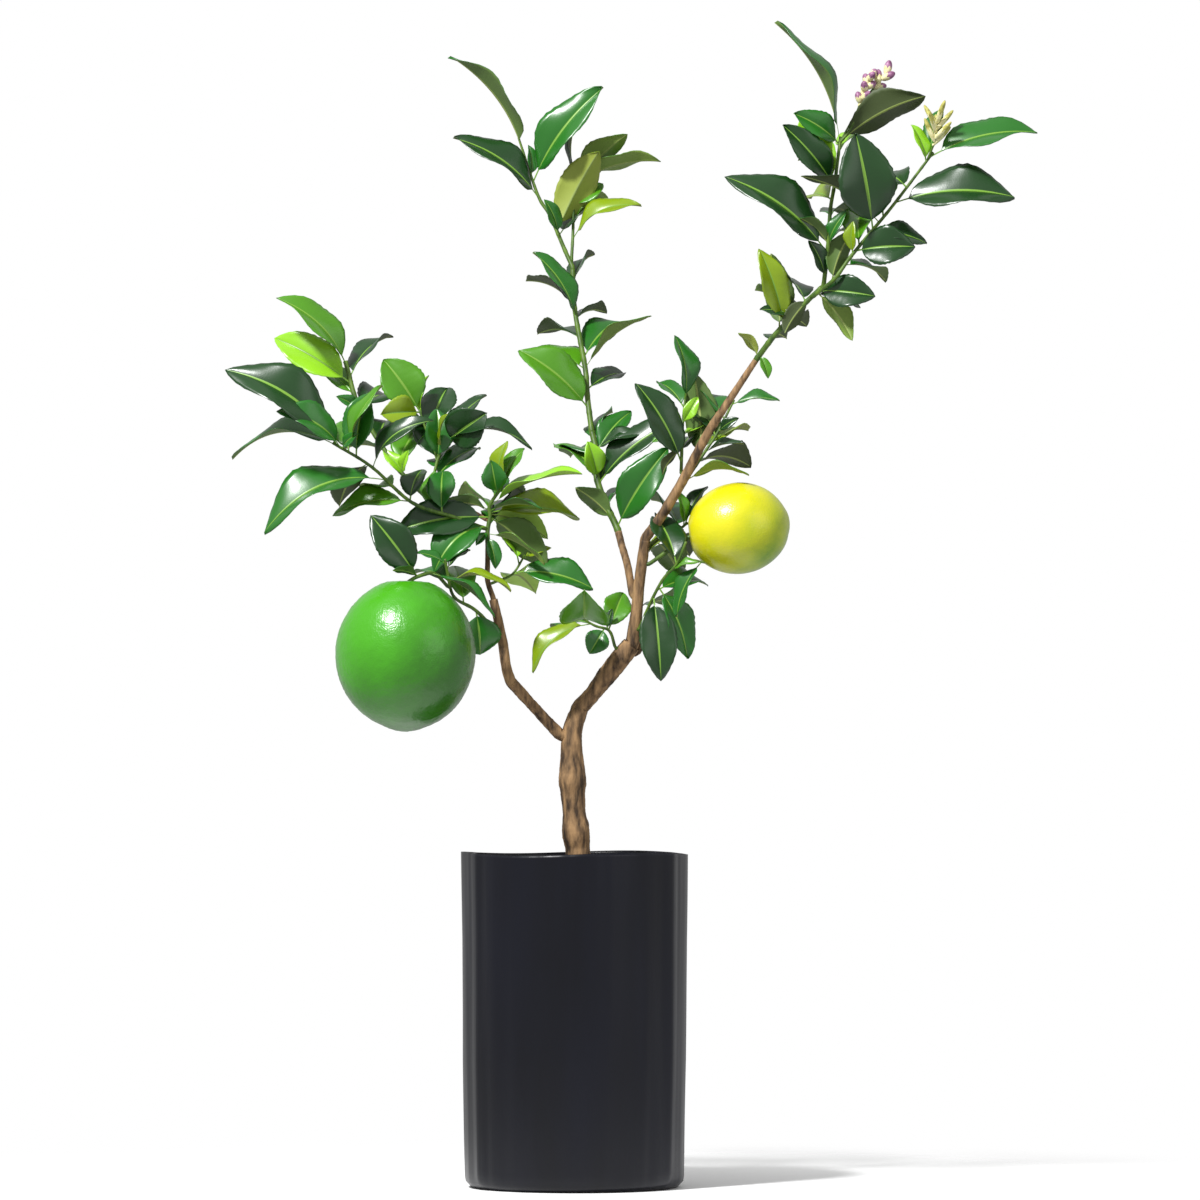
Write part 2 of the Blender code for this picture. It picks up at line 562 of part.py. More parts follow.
def make_soil(collection, material):
    """The potting mix: a plug that fills the bag, flat under the trunk and falling a little to its edge."""
    bm = bmesh.new()
    foot = BAG_RADIUS * BAG_RINGS[1][1] - BAG_WALL - SOIL_EDGE_GAP
    rings = [(BAG_WALL + CLEAR, foot - SOIL_FOOT), (BAG_WALL + CLEAR + SOIL_FOOT, foot)]
    rings.append((SOIL_LEVEL + SOIL_RINGS[-1][1], BAG_RADIUS * BAG_RINGS[3][1] - BAG_WALL - SOIL_EDGE_GAP))
    rings += [(SOIL_LEVEL + height, radius) for radius, height in reversed(SOIL_RINGS[:-1])]
    loops = []
    for height, radius in rings:
        ring = bmesh.ops.create_circle(bm, cap_ends=False, segments=BAG_SIDES, radius=radius)["verts"]
        for vert in ring:
            vert.co.z = height
        loops.append(list({edge for vert in ring for edge in vert.link_edges}))
    for lower, upper in zip(loops, loops[1:]):
        bmesh.ops.bridge_loops(bm, edges=lower + upper)
    for end in (loops[0], loops[-1]):
        bmesh.ops.contextual_create(bm, geom=end)
    bmesh.ops.scale(bm, vec=(MM, MM, MM), verts=bm.verts)
    bmesh.ops.recalc_face_normals(bm, faces=bm.faces)
    return add_object("soil", bm, collection, material)


def make_finish(name):
    colour, roughness, metallic = FINISHES[name]
    material = bpy.data.materials.new(name)
    material.use_nodes = True
    shader = material.node_tree.nodes["Principled BSDF"]
    shader.inputs["Base Color"].default_value = (*colour, 1)
    shader.inputs["Roughness"].default_value = roughness
    shader.inputs["Metallic"].default_value = metallic
    return material


def grow_wood(rods, collection, material):
    """The trunk and the boughs, each a node of its own. It gives their search trees, by name."""
    trees = {}
    for name, limb in {"trunk": TRUNK, **BOUGHS}.items():
        if limb.parent:
            rods[name] = grow(limb, rods[limb.parent], LIMB_STEPS)
        else:
            rods[name] = Rod(limb.path[1:], limb.diameters, LIMB_STEPS, Vector(limb.path[0]))
        add_object(name, bent_tube(rods[name], LIMB_SIDES_LEVEL), collection, material)
        trees[name] = rods[name].surface
    return trees


def grow_twigs(rods):
    """Each spray's stem and side twigs, and its fruit, as rods and closed meshes, before any leaf."""
    sprays = {}
    reach = None
    for name, twigs in SPRAYS.items():
        if name == REACH_BEFORE:
            rods["left_reach"] = grow(REACH_LIMB, rods[REACH_LIMB.parent], LIMB_STEPS)
            reach = bent_tube(rods["left_reach"], LIMB_SIDES_LEVEL)
        stem = rods[name] = grow(twigs[0], rods[twigs[0].parent], TWIG_STEPS)
        runs = [stem, *(branch(twig, stem) for twig in twigs[1:])]
        pieces = [bent_tube(run, TWIG_SIDES_LEVEL) for run in runs]
        if name in FRUITS:
            pieces.append(fruit_body(FRUITS[name], stem.points[-1]))
        for cluster in CLUSTERS.get(name, ()):
            pieces += cluster_heads(cluster, runs[cluster.twig])
        sprays[name] = (twigs, runs, pieces)
    return sprays, reach


def main():
    for old in list(bpy.data.objects):
        bpy.data.objects.remove(old)
    tree = bpy.data.collections.new("citrus_tree")
    bpy.context.scene.collection.children.link(tree)
    finishes = {name: make_finish(name) for name in FINISHES}
    make_bag(tree, finishes["bag_film"])
    make_soil(tree, finishes["soil"])

    rods = {}
    taken = grow_wood(rods, tree, finishes["bark"])
    sprays, reach = grow_twigs(rods)
    taken["left_reach"] = rods["left_reach"].surface
    add_object("left_reach", reach, tree, finishes["bark"])
    taken.update({(name, i): BVHTree.FromBMesh(bm) for name, spray in sprays.items() for i, bm in enumerate(spray[2])})

    for shaded in (False, True):
        for name, (twigs, runs, pieces) in sprays.items():
            for i, (twig, run) in enumerate(zip(twigs, runs)):
                for leaf in shade_leaves(twig, run, f"{name} {i}") if shaded else twig.leaves:
                    blade = leaf_blade(leaf, run.at(min(leaf.share, LAST_SHARE))[0])
                    others = [other for key, other in taken.items() if key[0] != name]
                    if touches(blade, others):
                        blade.free()
                        continue
                    taken[name, len(pieces)] = BVHTree.FromBMesh(blade)
                    pieces.append(blade)
    for name, (twigs, runs, pieces) in sprays.items():
        joined(name, pieces, tree, finishes[FRUIT_FINISHES.get(name, "foliage")])


if __name__ == "__main__":
    main()
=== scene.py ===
"""The looks of a young multi-grafted citrus tree in a black film planter bag.

Lengths in the tables are in millimetres and angles in degrees. The frame is in metres: its origin is
the middle of the bag's underside, +Z is up, and -Y is towards the viewer.
"""

import json
import logging
import math
import random
from collections.abc import Callable, Iterator
from dataclasses import dataclass, replace
from enum import Enum

import bmesh
import bpy
from mathutils import Matrix, Vector, noise

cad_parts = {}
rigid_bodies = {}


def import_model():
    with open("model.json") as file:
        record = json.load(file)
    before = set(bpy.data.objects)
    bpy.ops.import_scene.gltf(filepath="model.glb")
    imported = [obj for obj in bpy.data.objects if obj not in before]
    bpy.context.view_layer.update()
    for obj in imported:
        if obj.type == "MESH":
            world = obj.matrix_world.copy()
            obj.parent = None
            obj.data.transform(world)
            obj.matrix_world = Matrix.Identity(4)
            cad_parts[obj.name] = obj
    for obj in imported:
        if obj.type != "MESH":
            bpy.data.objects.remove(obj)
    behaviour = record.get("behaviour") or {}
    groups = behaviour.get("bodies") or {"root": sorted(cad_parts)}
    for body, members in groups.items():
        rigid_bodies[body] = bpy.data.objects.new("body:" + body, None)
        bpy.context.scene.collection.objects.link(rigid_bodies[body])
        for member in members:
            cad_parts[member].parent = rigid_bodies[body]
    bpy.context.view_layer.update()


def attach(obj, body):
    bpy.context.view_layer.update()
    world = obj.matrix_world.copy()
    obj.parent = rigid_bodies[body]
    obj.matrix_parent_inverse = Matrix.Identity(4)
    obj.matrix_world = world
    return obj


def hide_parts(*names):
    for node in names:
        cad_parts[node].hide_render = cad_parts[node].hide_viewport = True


LOG = logging.getLogger("citrus_tree")
BODY = "root"
SEED = 7
MM = 0.001
WELD = 0.000001
# A vertex of a unit grid counts as on its border within this share.
BORDER = 0.0001
FRONT = Vector((0, -1, 0))
UP = Vector((0, 0, 1))
GOLDEN_ANGLE = math.radians(137.5)
Pair = tuple[float, float]
Triple = tuple[float, float, float]
SOIL_LEVEL = 262.0

# A run starts this far from the surface that carries it, and goes straight on for a short way.
CLEAR = 0.3
STRAIGHT_START = 2.0
# Its root is then sunk in, behind a tip by a length and in a side by a share of the radius.
SUNK = 1.5
SUNK_IN_SIDE = 0.5
# No leaf sits on the very tip of its twig.
LAST_SHARE = 0.97
PATH_STEPS = 6


class Tone(Enum):
    """The greens of a leaf: its upper face, its under face, and how often the dice give it."""

    DEEP = ("123a10", "3c4a22", 5)
    MIDDLE = ("1f6417", "4f6a2c", 5)
    BRIGHT = ("47840f", "6f8a35", 3)
    YELLOW = ("78930c", "8c9a3c", 1)
    YOUNG = ("86c022", "a0c650", 0.7)


TONES = tuple(Tone)
TONE_WEIGHTS = tuple(tone.value[2] for tone in TONES)


@dataclass(frozen=True)
class Leaf:
    """A leaf as it shows from the front.

    Its share is the place along its twig. Heading 0 points right and 90 up. Lean is positive towards
    the viewer. Turn is 0 where the upper face looks at the viewer and 90 where it looks up. Width and
    arch are shares of its length.
    """

    share: float
    heading: float
    length: float
    lean: float = 0.0
    turn: float = 40.0
    width: float = 0.46
    arch: float = 0.10


@dataclass(frozen=True)
class Limb:
    """A run of wood that leaves its parent at a share of the parent's length."""

    parent: str | None
    share: float
    path: tuple
    diameters: tuple


@dataclass(frozen=True)
class Twig(Limb):
    """A leafy run: its shown leaves, and how many more the seeded rule tries."""

    leaves: tuple = ()
    shade: int = 0


TRUNK = Limb(
    None, 0,
    (
        (4, 0, SOIL_LEVEL + CLEAR), (4, 0, 264), (4, 0, 274), (3, 0, 288), (0, 0, 320), (-2, 0, 354),
        (-2, 0, 391), (4, 0, 412),
    ),
    (36, 23, 21, 24, 20, 20.5, 24, 20.5, 17.5, 17, 15),
)
BOUGHS = {
    "left_bough_lower": Limb(
        "trunk", 0.84, ((-23, -3, 401), (-34, -6, 413), (-54, -13, 435)), (11, 9.6, 9.2, 10)
    ),
    "left_bough_upper": Limb(
        "left_bough_lower", 1, ((-59, -16, 449), (-62, -18, 470), (-66, -20, 489), (-70, -21, 507)),
        (10, 8.6, 8.6, 8, 7.4),
    ),
    "right_bough_lower": Limb(
        "trunk", 1, ((15, -2, 425), (29, -5, 443), (49, -10, 468)), (15, 14, 16, 18, 16)
    ),
    "pruned_stub": Limb("right_bough_lower", 0.93, ((76, -12, 493),), (8, 4)),
    "right_bough_middle": Limb(
        "right_bough_lower", 1, ((54, -12, 500), (56, -12, 522), (61, -14, 558)), (13, 10, 9.6, 9)
    ),
    "right_bough_upper": Limb(
        "right_bough_middle", 1,
        ((77, -19, 582), (96, -26, 614), (115, -36, 650), (136, -44, 682), (156, -52, 712)),
        (8.8, 8.4, 8.4, 7.6, 6.2, 5),
    ),
    "centre_bough": Limb(
        "right_bough_middle", 0.47, ((46, -3, 536), (41, 4, 554), (38, 9, 566)), (6.8, 6.4, 6.2)
    ),
    "left_leader": Limb(
        "left_bough_upper", 1, ((-75, -22, 523), (-75, -20, 538), (-75, -19, 555)), (4.8, 4.4, 4.2)
    ),
}

SPRAYS = {
    "left_heart_right": (
        Twig(
            "left_leader", 1, ((-75, -18, 567), (-73, -17, 579), (-73, -17, 589), (-62, -18, 605)),
            (4.2, 2.6),
            (
                Leaf(0.15, 284, 30, 12, 30), Leaf(0.19, 331, 58, 14, 95, 0.36), Leaf(0.22, 231, 18, 30, 20),
                Leaf(0.30, 221, 66, 22, 40, 0.56, 0.22), Leaf(0.45, 189, 84, 8, 30, 0.44),
                Leaf(0.45, 318, 66, -8, 150, 0.52), Leaf(0.52, 357, 84, -22, 55),
                Leaf(0.50, 338, 62, -30, 140), Leaf(0.56, 171, 42, -18, 120),
                Leaf(0.62, 19, 86, 10, 85, 0.40), Leaf(0.55, 2, 50, 24, 85),
                Leaf(0.85, 100, 31, 20, 0, 0.7), Leaf(0.9, 81, 44, 5, 55),
                Leaf(0.95, 60, 42, -15, 45, 0.55),
            ),
            5,
        ),
    ),
    "far_left_low": (
        Twig(
            "left_heart_right", 0.26,
            ((-105, -30, 578), (-140, -42, 590), (-174, -56, 620), (-207, -68, 640)), (3.6, 2.4),
            (
                Leaf(0.97, 146, 116, 5, 40, 0.40, 0.16), Leaf(0.95, 150, 66, 22, 45, 0.50, 0.15),
                Leaf(0.96, 186, 96, -14, 70, 0.40, 0.20), Leaf(0.64, 204, 116, 12, 55, 0.40, 0.18),
                Leaf(0.46, 190, 70, -12, 60, 0.46), Leaf(0.9, 62, 66, 16, 65, 0.42),
                Leaf(0.85, 80, 56, -4, 25, 0.5), Leaf(0.74, 37, 68, 14, 50, 0.38, 0.20),
                Leaf(0.94, 40, 24, 40, 40),
            ),
            5,
        ),
    ),
    "far_left_top": (
        Twig(
            "left_reach", 1, ((-148, 8, 615), (-164, 14, 636), (-188, 26, 676), (-200, 36, 716)),
            (3.8, 4.2),
            (
                Leaf(0.97, 136, 86, 12, 50, 0.44, 0.14), Leaf(0.86, 149, 80, -10, 20, 0.46),
                Leaf(0.68, 150, 28, 30, 30), Leaf(0.2, 130, 30, -12, 30, 0.5), Leaf(0.22, 74, 24, 30, 40),
            ),
            7,
        ),
    ),
    "left_heart_high": (
        Twig(
            "left_reach", 0.92, ((-122, 4, 613), (-118, 8, 632), (-110, 12, 648)), (3, 2.2),
            (
                Leaf(0.6, 91, 46, -8, 20, 0.6), Leaf(0.95, 33, 48, 28, 0, 0.75), Leaf(0.9, 50, 58, -16, 55),
                Leaf(0.86, 358, 78, 10, 65, 0.36, 0.22), Leaf(0.5, 268, 42, 24, 50),
                Leaf(0.8, 80, 40, 42, 80, 0.3),
            ),
            4,
        ),
        Twig(
            "stem", 0.62, ((-124, 14, 645), (-130, 17, 658), (-135, 20, 673)), (2.6, 2),
            (Leaf(0.95, 125, 56, 0, 15, 0.7), Leaf(0.9, 80, 38, -20, 60), Leaf(0.95, 185, 40, 32, 10, 0.7)),
            1,
        ),
    ),
    "fruit_side": (
        Twig(
            "left_bough_upper", 0.66,
            ((-86, -31, 498), (-103, -46, 508), (-108, -54, 524), (-111, -58, 541)), (3.4, 2.4),
            (
                Leaf(0.95, 160, 27, 10, 60), Leaf(0.78, 350, 55, 10, 75, 0.40, 0.18),
                Leaf(0.3, 275, 40, -18, 15, 0.9), Leaf(0.9, 40, 30, -30, 60),
            ),
            2,
        ),
    ),
    "green_fruit": (
        Twig(
            "fruit_side", 0.72, ((-120, -72, 528), (-134, -82, 525), (-142, -85, 520)), (3, 3.4),
            (
                Leaf(0.82, 127, 66, 6, 10, 0.52), Leaf(0.55, 325, 68, 12, 75, 0.36),
                Leaf(0.8, 168, 28, 40, 130),
            ),
        ),
    ),
    "leader_side": (
        Twig(
            "left_leader", 0.3, ((-54, -8, 529), (-43, 0, 546)), (2.4, 1.8),
            (Leaf(0.6, 348, 70, 4, 50, 0.48), Leaf(0.93, 20, 26, 0, 40)),
            2,
        ),
    ),
    "centre_low": (
        Twig(
            "centre_bough", 1, ((34, 13, 576), (26, 18, 593), (19, 26, 615), (19, 32, 635), (15, 40, 655)),
            (6, 5.2),
            (
                Leaf(0.06, 57, 84, 12, 20, 0.40), Leaf(0.14, 140, 44, 12, 150, 0.5),
                Leaf(0.5, 38, 90, 6, 50, 0.44), Leaf(0.56, 104, 34, 20, 20, 0.6),
                Leaf(0.8, 50, 52, -25, 30, 0.5), Leaf(0.82, 18, 46, 20, 60),
            ),
            5,
        ),
    ),
    "centre_mid": (
        Twig(
            "centre_low", 1, ((11, 52, 686), (9, 60, 712), (0, 76, 763), (-2, 85, 800)), (5, 4),
            (
                Leaf(0.15, 140, 80, 5, 35, 0.52), Leaf(0.4, 38, 74, 8, 95, 0.44),
                Leaf(0.7, 123, 70, 0, 60, 0.42),
            ),
            7,
        ),
    ),
    "centre_top": (
        Twig(
            "centre_mid", 1, ((-8, 90, 815), (-22, 97, 848), (-33, 101, 867), (-50, 108, 918)), (4, 2),
            (
                Leaf(0.88, 127, 108, 6, 100, 0.40), Leaf(0.55, 145, 94, 8, 50, 0.40, 0.12),
                Leaf(0.68, 53, 104, 8, 35, 0.38), Leaf(0.3, 62, 80, 10, 165, 0.44),
                Leaf(0.28, 112, 34, 20, 40), Leaf(0.72, 95, 28, 0, 40),
            ),
            4,
        ),
        Twig(
            "stem", 0.05, ((-2, 98, 829), (-1, 103, 860), (1, 108, 885)), (3, 2),
            (
                Leaf(0.96, 90, 50, 0, 75, 0.3), Leaf(0.8, 48, 70, 4, 140, 0.42),
                Leaf(0.9, 15, 78, 0, 110, 0.36), Leaf(0.3, 25, 68, 10, 60, 0.4, 0.2),
                Leaf(0.65, 40, 36, -20, 30, 0.6),
            ),
            2,
        ),
    ),
    "right_inner": (
        Twig(
            "right_bough_upper", 0.36, ((93, -20, 645), (94, -14, 665), (97, -8, 690)), (3, 2),
            (
                Leaf(0.15, 120, 80, 10, 30, 0.42), Leaf(0.85, 99, 58, 0, 55, 0.48),
                Leaf(0.3, 232, 28, 5, 120, 0.5), Leaf(0.5, 200, 30, 20, 40), Leaf(0.6, 60, 26, 0, 0),
            ),
            3,
        ),
    ),
    "right_outer": (
        Twig(
            "right_bough_upper", 0.33, ((113, -22, 635), (124, -16, 652), (138, -8, 680)), (3, 2),
            (
                Leaf(0.95, 4, 42, 10, 60, 0.5), Leaf(0.64, 32, 22, 20, 30), Leaf(0.38, 12, 36, 20, 70),
                Leaf(0.05, 4, 56, 14, 110, 0.36, 0.15), Leaf(0.3, 94, 78, -14, 160, 0.42),
            ),
            4,
        ),
    ),
    "yellow_fruit": (
        Twig("right_bough_middle", 0.78, ((78, -18, 547), (92, -18, 556), (101, -18, 562)), (3.4, 4)),
    ),
    "fruit_leaves": (
        Twig(
            "right_bough_middle", 0.93, ((76, -6, 560), (88, -4, 566), (98, -2, 574)), (2.6, 2.2),
            (
                Leaf(0.93, 60, 42, -20, 50), Leaf(0.9, 100, 32, 0, 40, 0.4), Leaf(0.8, 216, 34, 10, 60),
                Leaf(0.3, 96, 26, -10, 40), Leaf(0.95, 350, 46, -40, 60),
            ),
            3,
        ),
    ),
    "knee_spray": (
        Twig(
            "right_bough_middle", 0.16, ((67, -30, 507), (77, -36, 525), (88, -42, 537), (96, -46, 556)),
            (3, 2.2),
            (Leaf(0.4, 275, 74, 8, 5, 0.44), Leaf(0.5, 292, 68, -12, 40, 0.44), Leaf(0.7, 16, 26, 20, 60)),
            3,
        ),
        Twig("stem", 0.72, ((100, -44, 540), (112, -46, 538)), (2, 1.8), (Leaf(0.9, 246, 52, -5, 60, 0.42),)),
    ),
    "stub_spray": (
        Twig(
            "right_bough_lower", 0.86, ((30, -20, 480), (18, -26, 484), (6, -30, 491)), (3, 1.8),
            (
                Leaf(0.8, 219, 66, 4, 60, 0.40, 0.18), Leaf(0.55, 240, 26, 10, 0, 0.8),
                Leaf(0.5, 75, 18, 0, 20), Leaf(0.94, 90, 60, 66, 0, 0.74),
            ),
            2,
        ),
    ),
    "right_mid": (
        Twig(
            "right_bough_upper", 1, ((172, -60, 733), (187, -66, 748), (199, -70, 761), (212, -75, 773)),
            (5, 4.2),
            (
                Leaf(0.06, 131, 28, 20, 130), Leaf(0.08, 290, 22, 10, 30),
                Leaf(0.4, 96, 68, -10, 160, 0.38), Leaf(0.46, 108, 70, 12, 20, 0.36),
                Leaf(0.6, 170, 30, 10, 40), Leaf(0.84, 234, 38, 10, 150), Leaf(0.93, 306, 52, 5, 140, 0.44),
                Leaf(0.95, 353, 52, 22, 10, 0.55), Leaf(0.9, 345, 44, -20, 60),
            ),
            4,
        ),
    ),
    "right_top_left": (
        Twig(
            "right_mid", 1, ((217, -82, 808), (219, -84, 839), (223, -82, 863), (228, -76, 902)), (4, 2.6),
            (
                Leaf(0.97, 119, 116, 6, 80, 0.40), Leaf(0.95, 148, 50, 20, 30, 0.5),
                Leaf(0.67, 131, 70, 14, 20, 0.42), Leaf(0.66, 113, 70, -12, 0, 0.42),
                Leaf(0.24, 144, 110, 8, 40, 0.42, 0.12), Leaf(0.3, 140, 36, 26, 130),
                Leaf(0.97, 27, 84, 15, 140, 0.42), Leaf(0.3, 60, 32, 10, 40), Leaf(0.08, 114, 36, 20, 40),
            ),
            5,
        ),
        Twig("stem", 0.96, ((236, -78, 908), (244, -79, 928), (254, -80, 955)), (2.4, 1.8)),
        Twig("stem", 0.96, ((246, -78, 930), (262, -75, 950), (269, -73, 957)), (2, 1.6)),
    ),
    "right_top_right": (
        Twig(
            "right_mid", 0.86,
            ((222, -90, 779), (236, -90, 798), (256, -97, 822), (274, -101, 844), (306, -107, 886)),
            (3.6, 2.2),
            (
                Leaf(0.55, 150, 78, 8, 110, 0.40), Leaf(0.5, 101, 86, 18, 5, 0.56),
                Leaf(0.16, 68, 50, -12, 150, 0.46), Leaf(0.34, 90, 28, 10, 40),
                Leaf(0.36, 3, 52, 14, 15, 0.66), Leaf(0.48, 350, 50, -10, 50),
                Leaf(0.68, 2, 102, 8, 45, 0.46), Leaf(0.97, 13, 94, 0, 50, 0.44),
                Leaf(0.94, 112, 34, 0, 40), Leaf(0.97, 76, 46, -14, 30, 0.4),
            ),
            6,
        ),
        Twig("stem", 0.95, ((307, -112, 896), (309, -114, 914)), (2, 1.8)),
    ),
}
REACH_LIMB = Limb("left_heart_right", 0.4, ((-88, -9, 583), (-100, -4, 588), (-127, 2, 596)), (3.6, 4.2))
REACH_BEFORE = "far_left_top"


def linear(hex_colour: str) -> tuple:
    """Turns an sRGB hex value to a linear colour with its alpha."""
    parts = [int(hex_colour[i : i + 2], 16) / 255 for i in (0, 2, 4)]
    return (*(c / 12.92 if c <= 0.04045 else ((c + 0.055) / 1.055) ** 2.4 for c in parts), 1.0)


def add_node(material: bpy.types.Material, kind: str, settings: dict, links: dict) -> bpy.types.Node:
    """Adds a node to a material.

    Args:
        material: The material to add it to.
        kind: The node's type name.
        settings: Attribute values, and socket values under a key that starts with "in:".
        links: Input socket to the output socket that feeds it.

    Returns:
        The new node.
    """
    node = material.node_tree.nodes.new(kind)
    for key, value in settings.items():
        if key.startswith("in:"):
            node.inputs[key[3:]].default_value = value
        else:
            setattr(node, key, value)
    for socket, source in links.items():
        material.node_tree.links.new(source, node.inputs[socket])
    return node


def start_material(
    name: str, settings: dict
) -> tuple[bpy.types.Material, bpy.types.Node, bpy.types.NodeSocket]:
    """Starts a material on Object coordinates, which are metres in the tree's own frame.

    Args:
        name: The material's name.
        settings: The shader's socket values.

    Returns:
        The material, its shader, and the socket that gives the coordinates.
    """
    material = bpy.data.materials.new(name)
    material.use_nodes = True
    shader = material.node_tree.nodes["Principled BSDF"]
    for socket, value in settings.items():
        shader.inputs[socket].default_value = value
    return material, shader, add_node(material, "ShaderNodeTexCoord", {}, {}).outputs["Object"]


@dataclass(frozen=True)
class Finish:
    """A natural surface: two shades of one colour in soft patches, a gloss, and a fine relief."""

    name: str
    dark: str
    light: str
    roughness: float
    patch_mm: float
    relief_mm: float = 0.0
    relief_height: float = 0.0
    stretch: Triple = (1.0, 1.0, 1.0)
    specular: float = 0.5
    dark_until: float = 0.35
    light_from: float = 0.68
    patch_detail: float = 4.0
    relief_detail: float = 3.0
    relief_strength: float = 0.6

    def make(self) -> bpy.types.Material:
        """Builds the material and returns it."""
        gloss = {"Roughness": self.roughness, "Specular IOR Level": self.specular}
        material, shader, place = start_material(self.name, gloss)
        links = material.node_tree.links
        drawn_out = add_node(material, "ShaderNodeMapping", {"in:Scale": self.stretch}, {"Vector": place})
        place = drawn_out.outputs[0]
        patch_scale = {"in:Scale": 1 / (self.patch_mm * MM), "in:Detail": self.patch_detail}
        patches = add_node(material, "ShaderNodeTexNoise", patch_scale, {"Vector": place})
        ramp = add_node(material, "ShaderNodeValToRGB", {}, {"Fac": patches.outputs["Fac"]})
        dark, light = ramp.color_ramp.elements
        dark.position, dark.color = self.dark_until, linear(self.dark)
        light.position, light.color = self.light_from, linear(self.light)
        links.new(ramp.outputs["Color"], shader.inputs["Base Color"])
        if self.relief_height:
            fine_scale = {"in:Scale": 1 / (self.relief_mm * MM), "in:Detail": self.relief_detail}
            fine = add_node(material, "ShaderNodeTexNoise", fine_scale, {"Vector": place})
            height = {"in:Strength": self.relief_strength, "in:Distance": self.relief_height * MM}
            bump = add_node(material, "ShaderNodeBump", height, {"Height": fine.outputs["Fac"]})
            links.new(bump.outputs["Normal"], shader.inputs["Normal"])
        return material


@dataclass(frozen=True)
class Peel:
    """Citrus peel coloured by painted sun and shade (partly real colouring when yellow), with pores and a
    waxy gloss.
    """

    name: str
    shaded: str
    between: str
    sunny: str
    between_at: float = 0.4
    roughness: float = 0.3
    wax: float = 0.3
    wax_roughness: float = 0.15
    pores_per_mm: float = 0.7
    pore_depth: float = 0.4
    pore_strength: float = 0.35

    def make(self) -> bpy.types.Material:
        """Builds the material on the mesh's attribute of painted sun and shade, from 0 in painted shade to 1
        in painted sun.

        Returns:
            The material.
        """
        gloss = {"Roughness": self.roughness, "Coat Weight": self.wax, "Coat Roughness": self.wax_roughness}
        material, shader, place = start_material(self.name, gloss)
        links = material.node_tree.links
        # The ramp paints sun and shade into the peel by which way each spot faces the key light.
        sun_and_ripe = add_node(material, "ShaderNodeAttribute", {"attribute_name": "painted_sun_and_ripeness"}, {}).outputs["Fac"]
        ramp = add_node(material, "ShaderNodeValToRGB", {}, {"Fac": sun_and_ripe})
        ramp.color_ramp.elements[0].color = linear(self.shaded)
        ramp.color_ramp.elements[1].color = linear(self.sunny)
        ramp.color_ramp.elements.new(self.between_at).color = linear(self.between)
        links.new(ramp.outputs["Color"], shader.inputs["Base Color"])
        scale = {"in:Scale": self.pores_per_mm / MM}
        pores = add_node(material, "ShaderNodeTexVoronoi", scale, {"Vector": place})
        depth = {"in:Strength": self.pore_strength, "in:Distance": self.pore_depth * MM}
        bump = add_node(material, "ShaderNodeBump", depth, {"Height": pores.outputs["Distance"]})
        links.new(bump.outputs["Normal"], shader.inputs["Normal"])
        return material


@dataclass(frozen=True)
class LeafSkin:
    """A leaf's skin: one plain colour, as it is dealt out leaf by leaf, with a fine leathery grain."""

    name: str
    colour: str
    roughness: float
    wax: float
    wax_roughness: float = 0.25
    grains_per_mm: float = 0.9
    grain_height: float = 0.2
    grain_strength: float = 0.3
    grain_detail: float = 2.0

    def make(self) -> bpy.types.Material:
        """Builds the material and returns it."""
        looks = {
            "Base Color": linear(self.colour), "Roughness": self.roughness, "Coat Weight": self.wax,
            "Coat Roughness": self.wax_roughness,
        }
        material, shader, place = start_material(self.name, looks)
        scale = {"in:Scale": self.grains_per_mm / MM, "in:Detail": self.grain_detail}
        grain = add_node(material, "ShaderNodeTexNoise", scale, {"Vector": place})
        height = {"in:Strength": self.grain_strength, "in:Distance": self.grain_height * MM}
        bump = add_node(material, "ShaderNodeBump", height, {"Height": grain.outputs["Fac"]})
        material.node_tree.links.new(bump.outputs["Normal"], shader.inputs["Normal"])
        return material


